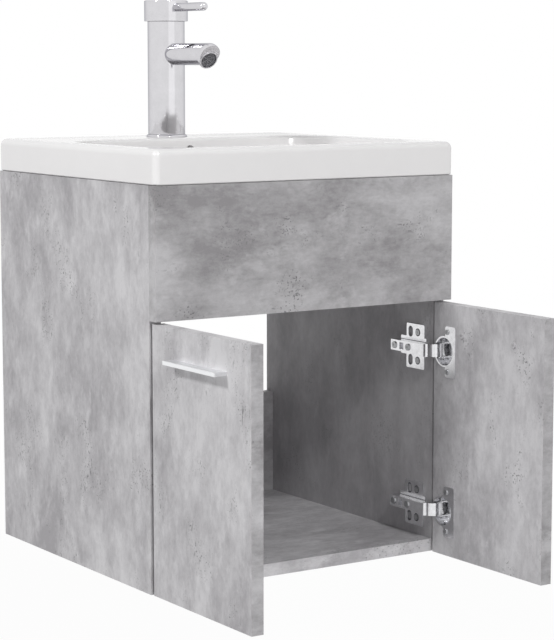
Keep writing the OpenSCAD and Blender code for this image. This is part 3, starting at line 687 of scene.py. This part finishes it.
def piece(name: str, bm: Body, finish: Finish, crease: float = CREASE) -> Piece:
    """Makes an object of a mesh, smooth up to the crease angle.

    Args:
        name: The piece's name.
        bm: Its mesh, which is freed.
        finish: Its material.
        crease: Edges sharper than this many degrees stay sharp.

    Returns:
        The object, in the scene.
    """
    bm.verts.index_update()
    mesh = bpy.data.meshes.new(name)
    mesh.from_pydata(
        [tuple(v.co) for v in bm.verts],
        [],
        [[v.index for v in face.verts] for face in bm.faces],
    )
    bm.free()
    mesh.materials.append(finish.material())
    mesh.shade_smooth()
    mesh.set_sharp_from_angle(angle=math.radians(crease))
    return placed(name, mesh)


class Join(Enum):
    """What a body does to the piece that it meets."""

    ADD = "UNION"
    CUT = "DIFFERENCE"


Tool = tuple[Join, Body, Matrix]


def shaped(made: Piece, tools: Iterable[Tool]) -> Piece:
    """Joins bodies to a piece or cuts them out of it, for good.

    Args:
        made: The piece.
        tools: What to do, with which body, and where it goes, in order. The bodies are
            freed.

    Returns:
        The same piece with its new mesh.
    """
    helpers = []
    for join, bm, place in tools:
        bm.transform(place)
        mesh = bpy.data.meshes.new("tool")
        bm.to_mesh(mesh)
        bm.free()
        helpers.append(placed("tool", mesh))
        step = made.modifiers.new("join", "BOOLEAN")
        step.operation = join.value
        step.object = helpers[-1]
        step.solver = "MANIFOLD"
    graph = bpy.context.evaluated_depsgraph_get()
    result = bpy.data.meshes.new_from_object(made.evaluated_get(graph))
    made.modifiers.clear()
    made.data = result
    made.data.shade_smooth()
    made.data.set_sharp_from_angle(angle=math.radians(CREASE))
    for helper in helpers:
        mesh = helper.data
        bpy.data.objects.remove(helper)
        bpy.data.meshes.remove(mesh)
    return made


def edged(made: Piece, width: float, steps: int) -> Piece:
    """Rounds a piece's sharp edges.

    Args:
        made: The piece.
        width: The round's width in millimetres.
        steps: Chords per edge.

    Returns:
        The same piece.
    """
    bevel = made.modifiers.new("edges", "BEVEL")
    bevel.width = width * MM
    bevel.segments = steps
    bevel.limit_method = "ANGLE"
    bevel.angle_limit = math.radians(BEVELLED)
    bevel.harden_normals = True
    bevel.miter_outer = "MITER_ARC"
    return made


Finishes = dict[str, tuple[Finish, float]]


@dataclass
class Assembly:
    """A sub-assembly of the unit, built in place of its nodes."""

    frame: dict[str, Any]
    home: dict[str, str] = field(init=False)
    slots: dict[str, str] = field(init=False)

    def __post_init__(self) -> None:
        """Looks up every node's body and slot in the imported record."""
        record = self.frame["record"]
        groups = record["behaviour"]["bodies"]
        self.home = {node: body for body, nodes in groups.items() for node in nodes}
        self.slots = {
            part["node"]: part["material_slot"] for part in record["subparts"]
        }

    def keep_shape(
        self, node: str, finish: Finish, edge: float, steps: int = 2
    ) -> Piece:
        """A piece with the node's own shape, with its edges rounded.

        Args:
            node: The CAD node.
            finish: The piece's material.
            edge: Width of the rounded edges in millimetres.
            steps: Chords per edge.

        Returns:
            The piece.
        """
        made = piece(f"{node}_finished", copied(node, self.frame), finish)
        return self.fit(edged(made, edge, steps), node)

    def keep_shapes(self, pieces: Finishes) -> None:
        """Keeps the shape of several nodes.

        Args:
            pieces: Each node's material and the width of its rounded edges.
        """
        for node, (finish, edge) in pieces.items():
            self.keep_shape(node, finish, edge)

    def fit(self, made: Piece, node: str) -> Piece:
        """Fits a piece to its body in place of a node, and reports it.

        Args:
            made: The piece.
            node: The CAD node that it stands for.

        Returns:
            The same piece.
        """
        body, slot = self.home[node], self.slots[node]
        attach(made, body)
        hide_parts(node)
        LOG.info("%s rides on %s", made.name, body)
        return made

    def reface(
        self, made: Piece, finish: Finish, chosen: Callable[[Face], bool]
    ) -> None:
        """Gives some faces of a piece another finish.

        Args:
            made: The piece.
            finish: The other finish.
            chosen: Says for a face if it gets it.
        """
        made.data.materials.append(finish.material())
        other = len(made.data.materials) - 1
        for face in made.data.polygons:
            face.material_index = other if chosen(face) else 0

    def build(self) -> None:
        """Builds and dresses every piece of the sub-assembly."""
        raise NotImplementedError


@dataclass
class Carcass(Assembly):
    """The boards of the cabinet and the fittings between them."""

    edge: float = 0.5
    boards: dict[str, Finish] = field(
        default_factory=lambda: {
            "side_panel_left": DECOR_UPRIGHT,
            "side_panel_right": DECOR_UPRIGHT,
            "bottom_panel": DECOR_LEVEL,
            "front_fascia": DECOR_FASCIA,
            "lower_back_panel": DECOR_LEVEL,
            "hanging_rail": DECOR_LEVEL,
        }
    )
    fittings: Finishes = field(
        default_factory=lambda: {
            "cam_locks": (ZINC, 0.2),
            "cam_bolts": (ZINC, 0.15),
            "dowels": (BEECH, 0.6),
        }
    )

    def build(self) -> None:
        """Boards, painted shade on the sides' inner faces, and cams, bolts and dowels.
        """
        for node, finish in self.boards.items():
            board = self.keep_shape(node, finish, self.edge)
            if node.startswith("side_panel"):
                inward = 1 if node.endswith("left") else -1
                # the faces inside the cabinet get the darker, plainer print as painted
                # shade
                self.reface(
                    board, DECOR_INNER_PAINTED_SHADE, lambda face: face.normal.x * inward > ALONG
                )
        self.keep_shapes(self.fittings)


@dataclass
class Doors(Assembly):
    """Both doors with their handles."""

    edge: float = 0.5
    handle_edge: float = 0.7
    screw_edge: float = 0.15

    def build(self) -> None:
        """Door boards, handles and handle screws."""
        for side in ("left", "right"):
            self.band(self.keep_shape(f"door_{side}", DECOR_UPRIGHT, self.edge))
            self.keep_shape(f"handle_{side}", ALUMINIUM, self.handle_edge, 3)
            self.keep_shape(f"handle_screws_{side}", LACQUER, self.screw_edge)

    def band(self, made: Piece) -> None:
        """Puts the darker edge band on a board's narrow upright faces.

        Args:
            made: The board.
        """
        broad = max(made.data.polygons, key=lambda face: face.area).normal.copy()

        def narrow(face: Face) -> bool:
            """An upright face across the board."""
            return abs(face.normal.dot(broad)) < ALONG and abs(face.normal.z) < ALONG

        self.reface(made, DECOR_FASCIA, narrow)


@dataclass
class Hinges(Assembly):
    """The four concealed cup hinges."""

    sheet_edge: float = 0.3
    pin_edge: float = 0.12
    panel_x: float = 190.0
    dish_floor: float = 1.0
    slack: float = 0.1
    level: float = 0.9

    def dished(self, face: Face) -> bool:
        """A face on the floor of a plate's pressed recesses, where shade is painted."""
        rise = self.panel_x - abs(face.center.x) / MM - self.dish_floor
        return abs(face.normal.x) > self.level and abs(rise) < self.slack

    def build(self) -> None:
        """Plates, arms, links, cups, pins and screws."""
        for side in ("left", "right"):
            for level in ("lower", "upper"):
                place = f"{side}_{level}"
                plate = self.keep_shape(f"hinge_plate_{place}", NICKEL, self.sheet_edge)
                # painted shade: the recess floors get dark, dull nickel
                self.reface(plate, PAINTED_RECESS_SHADE, self.dished)
                for part in ("hinge_arm", "outer_link", "inner_link", "hinge_cup"):
                    self.keep_shape(f"{part}_{place}", NICKEL, self.sheet_edge / 2)
            for part in ("cup_pins", "inner_link_pins", "cup_screws"):
                self.keep_shape(f"{part}_{side}", ZINC, self.pin_edge)
        for part in ("hinge_arm_pins", "hinge_plate_screws", "hinge_arm_screws"):
            self.keep_shape(part, ZINC, self.pin_edge)


@dataclass
class Basin(Assembly):
    """The ceramic basin on its silicone bed.

    From a round lip the bowl goes down a wall with some draft and a wide sweep to a
    floor that falls to the drain, and the shell follows it from outside.
    """

    cabinet: Pair = (410.0, 385.0)
    overhang: float = 1.0
    underside: float = 35.8
    apron: float = 39.0
    edge: float = 8.0
    foot: float = 1.0
    crown: float = 0.6
    shell: float = 10.0
    rim: float = 26.0
    deck: float = 118.0
    depth: float = 108.0
    lip: float = 6.0
    lip_turn: float = 67.5
    draft: float = 5.0
    corner: float = 58.0
    tighter: float = 0.6
    least_corner: float = 12.0
    sweep: float = 42.0
    fall: float = 2.5
    fall_delay: int = 8
    drain: float = 22.5
    floor_shares: tuple[float, ...] = (0.75, 0.5, 0.25, 0.06, 0.0)
    tap_hole: Pair = (17.5, -60.0)
    tap_hole_span: Pair = (-30.0, 20.0)
    overflow_r: float = 6.0
    overflow_drop: float = 15.0
    overflow_back: float = 14.0
    overflow_l: float = 34.0
    bead_edge: float = 0.2
    crease: float = 40.0
    weld: float = 1e-7
    corner_steps: int = 20
    edge_steps: int = 12
    lip_steps: int = 10
    sweep_steps: int = 16

    @property
    def half(self) -> Pair:
        """Half the basin's width and depth."""
        wide = self.cabinet[0] / 2 + self.overhang
        return wide, (self.cabinet[1] + self.overhang) / 2

    @property
    def top(self) -> float:
        """The height of the rim."""
        return self.underside + self.apron

    @property
    def mouth(self) -> Triple:
        """The bowl's mouth.

        Returns:
            The y of its middle, and half its width and depth.
        """
        wide, deep = self.half
        front = 2 * deep - self.rim
        return -(self.deck + front) / 2, wide - self.rim, (front - self.deck) / 2

    @property
    def lean(self) -> float:
        """How far the bowl's straight wall leans in."""
        return math.tan(math.radians(self.draft)) * (self.depth - self.sweep)

    def ring(self, half: Pair, radius: float, middle: float, height: float) -> Ring:
        """Points round a rounded rectangle.

        Args:
            half: Its half sizes.
            radius: The radius of its corners.
            middle: The y of its middle.
            height: Its height.

        Returns:
            As many points for every rectangle, in millimetres.
        """
        points = []
        for quarter, (sx, sy) in enumerate(((1, 1), (-1, 1), (-1, -1), (1, -1))):
            for k in range(self.corner_steps + 1):
                turn = math.radians(90 * quarter + 90 * k / self.corner_steps)
                x = sx * (half[0] - radius) + radius * math.cos(turn)
                y = middle + sy * (half[1] - radius) + radius * math.sin(turn)
                points.append(Vector((x, y, height)))
        return points

    def block(self) -> list[Ring]:
        """Rings up the outside and over the top edge.

        Returns:
            The rings, from the foot up and in.
        """
        wide, deep = self.half
        foot = (wide - self.foot, deep - self.foot)
        rings = [
            self.ring(foot, self.edge - self.foot, -deep, self.underside),
            self.ring((wide, deep), self.edge, -deep, self.underside + self.foot),
        ]
        for k in range(self.edge_steps + 1):
            turn = math.radians(90 * k / self.edge_steps)
            inset = self.edge * (1 - math.cos(turn))
            rings.append(
                self.ring(
                    (wide - inset, deep - inset),
                    self.edge - inset + self.crown * math.sin(turn),
                    -deep,
                    self.top - self.edge * (1 - math.sin(turn)),
                )
            )
        return rings

    def bowl(self, grown: float) -> list[Ring]:
        """Rings from the bowl's mouth to its floor.

        Args:
            grown: How far the shell stands outside the bowl's own surface.

        Returns:
            The rings, from the top down.
        """
        middle, half_x, half_y = self.mouth
        path = []
        for k in range(self.lip_steps + 1):
            turn = math.radians(90 - self.lip_turn * k / self.lip_steps)
            path.append(
                (self.lip * (1 - math.sin(turn)), -self.lip * (1 - math.cos(turn)), 0.0)
            )
        for k in range(self.sweep_steps + 1):
            turn = math.radians(90 * k / self.sweep_steps)
            path.append(
                (
                    self.depth - self.sweep * (1 - math.sin(turn)),
                    self.lean + self.sweep * (1 - math.cos(turn)),
                    self.fall * math.sin(turn) ** self.fall_delay,
                )
            )
        rings = []
        for drop, inset, lift in path:
            inward = inset - grown
            corner = max(self.least_corner, self.corner - inset * self.tighter) + grown
            half, height = (half_x - inward, half_y - inward), self.top - drop
            rings.append(self.ring(half, corner, middle, height - grown + lift))
        return rings

    def floor(self, grown: float) -> list[Ring]:
        """Rings from the floor's edge in to the drain, sloping down by the fall.

        Args:
            grown: How far the shell stands outside the bowl's own surface.

        Returns:
            The rings, from the edge in.
        """
        middle, half_x, half_y = self.mouth
        inset = self.lean + self.sweep
        edge = (half_x - inset + grown, half_y - inset + grown)
        corner = self.corner - inset * self.tighter + grown
        rings = []
        for share in self.floor_shares:
            x, y = (self.drain + (e - self.drain) * share for e in edge)
            radius = min(self.drain + (corner - self.drain) * share, x, y)
            height = self.top - self.depth - grown + self.fall * share
            rings.append(self.ring((x, y), radius, middle, height))
        return rings

    def under(self) -> list[Ring]:
        """Rings down the apron's inside.

        Returns:
            The rings under the deck and at the underside.
        """
        wide, deep = self.half
        well = (wide - self.shell, deep - self.shell)
        return [
            self.ring(well, self.edge, -deep, height)
            for height in (self.top - self.shell, self.underside)
        ]

    def build(self) -> None:
        """One closed shell, then its holes, and the bed under it."""
        under_deck = self.top - self.shell
        outside = [ring for ring in self.bowl(self.shell) if ring[0].z < under_deck]
        rings = (
            self.block()
            + self.bowl(0)
            + self.floor(0)
            + self.floor(self.shell)[::-1]
            + outside[::-1]
            + self.under()
        )
        bm = bmesh.new()
        loops = [[bm.verts.new(p * MM) for p in ring] for ring in rings]
        for here, there in zip(loops, loops[1:] + loops[:1]):
            for k in range(len(here)):
                bm.faces.new((here[k - 1], here[k], there[k], there[k - 1]))
        bmesh.ops.remove_doubles(bm, verts=bm.verts, dist=self.weld)
        bmesh.ops.recalc_face_normals(bm, faces=bm.faces)
        made = piece("basin_finished", bm, CERAMIC, self.crease)
        radius, y = self.tap_hole
        hole = rod(radius, *self.tap_hole_span)
        spill = rod(self.overflow_r, 0, self.overflow_l)
        behind = (0, -self.deck - self.overflow_back, self.top - self.overflow_drop)
        shaped(
            made,
            [
                (Join.CUT, hole, moved(0, y, self.top)),
                (Join.CUT, spill, moved(*behind) @ tilted(-90)),
            ],
        )
        self.fit(made, "basin")
        self.keep_shape("silicone_bead", SILICONE, self.bead_edge)


@dataclass
class Waste(Assembly):
    """The push-to-open waste in the bowl's floor."""

    metal_edge: float = 0.5
    metal_steps: int = 3
    gasket_edge: float = 0.3

    def build(self) -> None:
        """Body, plug, gaskets and nut."""
        for node in ("waste_body", "waste_nut", "plug"):
            self.keep_shape(node, CHROME, self.metal_edge, self.metal_steps)
        self.keep_shape("waste_gaskets", RUBBER, self.gasket_edge)


@dataclass
class Tap(Assembly):
    """The single-lever tap.

    In the sections, each corner's third number is the radius that rounds it.
    """

    axis: Pair = (0.0, -60.0)
    deck: float = 74.8
    ring_bore: float = 15.5
    ring_h: float = 3.0
    ring_step: float = 1.8
    ring_foot: float = 2.2
    ring_neck: float = 0.6
    height: float = 145.5
    radius: float = 23.4
    well_r: float = 17.5
    well_depth: float = 30.0
    well_h: float = 40.0
    stud_r: float = 4.02
    stud_y: float = 10.0
    stud_span: Pair = (-1.0, 16.0)
    spout_r: float = 13.5
    spout_h: float = 103.5
    reach: float = 118.0
    mouth_back: float = 1.16
    mouth_drop: float = 0.53
    mouth_tilt: float = 57.0
    slant_r: float = 22.0
    slant_h: float = 40.0
    collar_wall: float = 1.0
    collar_h: float = 11.0
    bore_span: Pair = (-1.0, 9.0)
    sieve_r: float = 11.2
    rim_wall: float = 0.8
    rim_lip: float = 0.7
    rim_drop: float = 1.2
    insert_gap: float = 0.02
    insert_h: float = 7.0
    insert_floor: float = 2.0
    sieve_span: Pair = (0.6, 2.2)
    wire: float = 0.35
    wires: Triple = (2.4, 4.8, 7.2)
    spoke: float = 0.4
    spoke_gap: float = 0.5
    spokes: Triple = (0.0, 60.0, 120.0)
    dark_gap: float = 0.9
    dark_h: float = 3.0
    head_r: float = 27.5
    head_h: float = 26.0
    head_wall: float = 1.0
    cap: float = 6.0
    skirt_lap: float = 0.9
    lever_r: float = 5.2
    lever_h: float = 17.0
    lever_foot: float = 16.1
    lever_reach: float = 96.0
    inner: Finishes = field(
        default_factory=lambda: {
            "tap_cartridge": (ACETAL, 0.4),
            "tap_core": (ZINC, 0.2),
            "tap_stud": (ZINC, 0.3),
            "tap_washers": (RUBBER, 0.2),
            "tap_nut": (ZINC, 0.3),
        }
    )

    def at(self, height: float = 0.0) -> Matrix:
        """The place on the tap's axis at a height over the deck."""
        return moved(*self.axis, self.deck + height)

    def forward(self, height: float) -> Matrix:
        """A place like at(), turned so that Z points to the front."""
        return self.at(height) @ tilted(90)

    def mouth(self) -> Matrix:
        """The aerator's seat.

        Returns:
            The place of its middle, with Z up into the spout.
        """
        back = self.reach - self.mouth_back * self.spout_r
        seat = self.at(self.spout_h - self.mouth_drop * self.spout_r)
        return seat @ moved(0, -back, 0) @ tilted(-self.mouth_tilt)

    def column(self) -> Piece:
        """The body with its spout, its cartridge well and the aerator's collar.

        Returns:
            The piece.
        """
        r, low, high = self.radius, self.ring_h, self.height
        section = [(0, low, 0), (r, low, 0.4), (r, high, 1.2), (0, high, 0)]
        bm = turned(rounded(section, 8))
        bm.transform(self.at())
        made = piece("tap_body_finished", bm, CHROME)
        spout = domed(self.spout_r, 0.0, self.reach, 20)
        slant = rod(self.slant_r, -self.slant_h, 0)
        wall, top = self.sieve_r + self.collar_wall, self.collar_h
        section = [(0, 0, 0), (wall, 0, 0.4), (wall, top, 0), (0, top, 0)]
        collar = turned(rounded(section))
        bore = rod(self.sieve_r, *self.bore_span)
        well = rod(self.well_r, 0, self.well_h)
        stud = rod(self.stud_r, *self.stud_span, 48)
        mouth = self.mouth()
        return shaped(
            made,
            [
                (Join.ADD, spout, self.forward(self.spout_h)),
                (Join.CUT, slant, mouth),
                (Join.ADD, collar, mouth),
                (Join.CUT, bore, mouth),
                (Join.CUT, well, self.at(high - self.well_depth)),
                (Join.CUT, stud, self.at() @ moved(0, self.stud_y, 0)),
            ],
        )

    def aerator(self) -> Piece:
        """The aerator's rim with its sieve of rings and spokes.

        Returns:
            The piece.
        """
        r = self.sieve_r
        bore, lip, insert = r - self.rim_wall, r + self.rim_lip, r - self.insert_gap
        section = [
            (bore, -self.rim_drop, 0.2),
            (lip, -self.rim_drop, 0.5),
            (lip, 0, 0.1),
            (insert, 0, 0),
            (insert, self.insert_h, 0.4),
            (0, self.insert_h, 0),
            (0, self.insert_floor, 0),
            (bore, self.insert_floor, 0),
        ]
        made = piece("tap_aerator_finished", turned(rounded(section, 4)), CHROME)
        low, high = self.sieve_span
        tools: list[Tool] = []
        for middle in self.wires:
            inner, outer = middle - self.wire, middle + self.wire
            ring = [(inner, low), (outer, low), (outer, high), (inner, high)]
            tools.append((Join.ADD, turned(ring, 48), Matrix()))
        half, end = self.spoke, r - self.spoke_gap
        for turn in self.spokes:
            bar = [(-half, low), (half, low), (half, high), (-half, high)]
            way = Matrix.Rotation(math.radians(turn), 4, "Z")
            tools.append((Join.ADD, drawn(bar, -end, end), way))
        shaped(made, tools)
        within, under = (r - self.dark_gap) * MM, self.dark_h * MM

        def inside(face: Face) -> bool:
            """A face of the sieve, or of the floor behind it where shade is painted."""
            return face.center.xy.length < within and face.center.z < under

        # the sieve and the floor behind it get one dark grey; on the floor it is
        # painted shade
        self.reface(made, SIEVE_AND_PAINTED_SHADE, inside)
        made.data.transform(self.mouth())
        return made

    def head(self) -> Piece:
        """The cap over the cartridge, with its skirt.

        Returns:
            The piece.
        """
        r, high = self.head_r, self.head_h
        bore, under = r - self.head_wall, high - self.cap
        section = [
            (0, under, 0),
            (bore, under, 0),
            (bore, 0, 0.3),
            (r, 0, 0.5),
            (r, high, 1.4),
            (0, high, 0),
        ]
        bm = turned(rounded(section), 128)
        bm.transform(self.at(self.height - self.skirt_lap))
        return piece("tap_head_finished", bm, CHROME)

    def lever(self) -> Piece:
        """The round lever with its domed end.

        Returns:
            The piece.
        """
        bm = domed(self.lever_r, self.lever_foot, self.lever_reach, 12, 64)
        bm.transform(self.forward(self.height - self.skirt_lap + self.lever_h))
        return piece("tap_lever_finished", bm, CHROME)

    def base_ring(self) -> Piece:
        """The ring between the body and the deck.

        Returns:
            The piece.
        """
        bore, foot = self.ring_bore, self.radius + self.ring_foot
        section = [
            (bore, 0, 0),
            (foot, 0, 0.3),
            (foot, self.ring_step, 0.9),
            (self.radius + self.ring_neck, self.ring_h, 0.3),
            (bore, self.ring_h, 0),
        ]
        bm = turned(rounded(section, 5))
        bm.transform(self.at())
        return piece("tap_base_ring_finished", bm, CHROME)

    def build(self) -> None:
        """Body, ring, aerator, head and lever, and the pieces inside and below."""
        self.fit(self.column(), "tap_body")
        self.fit(self.base_ring(), "tap_base_ring")
        self.fit(self.aerator(), "tap_aerator")
        self.fit(self.head(), "tap_head")
        self.fit(self.lever(), "tap_lever")
        self.keep_shapes(self.inner)


@dataclass(frozen=True)
class Lamp:
    """A square softbox, with its side, its power in watts and if mirrors show it."""

    name: str
    place: Triple
    side: float
    power: float
    mirrored: bool = True


@dataclass
class Studio:
    """The camera, the soft lamps, the white surround and the pale floor."""

    place: Triple = (-1356.9, -2383.8, 174.0)
    heading: float = 33.26
    tilt: float = 7.08
    lens: float = 118.8
    film: float = 36.0
    floor_h: float = -775.0
    floor_half: float = 9000.0
    floor_cells: int = 8
    floor_colour: str = "#f4f4f4"
    floor_glow: float = 0.96
    shadow_reach: Pair = (1200.0, 3500.0)
    surround: str = "#ecebec"
    ambient: float = 0.29
    lamps: tuple[Lamp, ...] = (
        Lamp("key", (-2500.0, -200.0, 1850.0), 480.0, 44.5),
        Lamp("front", (-620.0, -2985.0, 2155.0), 380.0, 38.0),
        Lamp("fill", (300.0, -3250.0, 300.0), 2150.0, 14.0, False),
        Lamp("strip", (150.0, -3250.0, 0.0), 2200.0, 2.6),
    )
    target: Triple = (0.0, -200.0, -120.0)

    def camera(self) -> None:
        """Puts the camera at the photograph's place."""
        data = bpy.data.cameras.new("photo_camera")
        data.sensor_fit = "VERTICAL"
        data.sensor_height = self.film
        data.lens = self.lens
        made = placed(data.name, data)
        made.location = Vector(self.place) * MM
        turn = (90 - self.tilt, 0, -self.heading)
        made.rotation_euler = [math.radians(angle) for angle in turn]
        bpy.context.scene.camera = made

    def light(self) -> None:
        """Hangs the lamps round the unit, each turned to its middle."""
        target = Vector(self.target)
        for lamp in self.lamps:
            data = bpy.data.lights.new(f"{lamp.name}_softbox", "AREA")
            data.shape = "SQUARE"
            data.size = lamp.side * MM
            data.energy = lamp.power
            made = placed(data.name, data)
            place = Vector(lamp.place)
            made.location = place * MM
            made.rotation_euler = (target - place).to_track_quat("-Z", "Y").to_euler()
            made.visible_glossy = lamp.mirrored

    def surroundings(self) -> None:
        """A white surround for the eye and the mirrors, and a dimmer one as a lamp."""
        world = bpy.data.worlds.new("studio")
        tree = emptied(world)
        seen = self.seen(tree)
        dim, white = (
            add_node(
                tree, "Background", {"Color": linear(colour), "Strength": power}
            ).outputs[0]
            for colour, power in ((self.surround, self.ambient), ("#ffffff", 1.0))
        )
        mix = add_node(tree, "MixShader", {0: seen, 1: dim, 2: white})
        add_node(tree, "OutputWorld", {"Surface": mix.outputs[0]})
        bpy.context.scene.world = world

    def seen(self, tree: Tree) -> Socket:
        """Tells the rays that look from those that light.

        Args:
            tree: The tree to add to.

        Returns:
            1 for rays of the eye, of a mirror or through glass, and 0 for the others.
        """
        path = add_node(tree, "LightPath")
        total = path.outputs["Is Camera Ray"]
        for ray in ("Is Glossy Ray", "Is Transmission Ray"):
            total = add_node(
                tree, "Math", {0: total, 1: path.outputs[ray]}, operation="MAXIMUM"
            ).outputs[0]
        return total

    def floor(self) -> None:
        """A pale floor that turns to the white surround and keeps the shadow."""
        bm = bmesh.new()
        cells, half = self.floor_cells, self.floor_half * MM
        bmesh.ops.create_grid(bm, x_segments=cells, y_segments=cells, size=half)
        bm.transform(moved(0, 0, self.floor_h))
        mesh = bpy.data.meshes.new("studio_floor")
        bm.to_mesh(mesh)
        bm.free()
        paint = bpy.data.materials.new("matt_floor_paint")
        mesh.materials.append(paint)
        tree = emptied(paint)
        matt = add_node(tree, "BsdfDiffuse", {"Color": linear(self.floor_colour)})
        glow = add_node(tree, "Emission", {"Strength": 1.0})
        # away from the unit's shadow the floor turns wholly to the surround's white
        place = add_node(tree, "TexCoord").outputs["Object"]
        away = add_node(
            tree, "VectorMath", {0: place}, operation="LENGTH"
        ).outputs["Value"]
        full = add_node(
            tree,
            "MapRange",
            {
                "Value": away,
                "From Min": self.shadow_reach[0] * MM,
                "From Max": self.shadow_reach[1] * MM,
                "To Min": self.floor_glow,
                "To Max": 1.0,
            },
            interpolation_type="SMOOTHSTEP",
        ).outputs[0]
        share = add_node(
            tree, "Math", {0: self.seen(tree), 1: full}, operation="MULTIPLY"
        ).outputs[0]
        mix = add_node(
            tree, "MixShader", {0: share, 1: matt.outputs[0], 2: glow.outputs[0]}
        )
        add_node(tree, "OutputMaterial", {"Surface": mix.outputs[0]})
        placed("studio_floor", mesh)

    def build(self) -> None:
        """Sets up everything that isn't part of the unit."""
        self.camera()
        self.light()
        self.surroundings()
        self.floor()
        bpy.context.scene.view_settings.view_transform = "Standard"


def main() -> None:
    """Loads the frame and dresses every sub-assembly."""
    logging.basicConfig(level=logging.INFO, format="%(name)s: %(message)s")
    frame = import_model()
    Studio().build()
    for assembly in (Carcass, Doors, Hinges, Basin, Waste, Tap):
        LOG.info("building %s", assembly.__name__)
        assembly(frame).build()


if __name__ == "__main__":
    main()
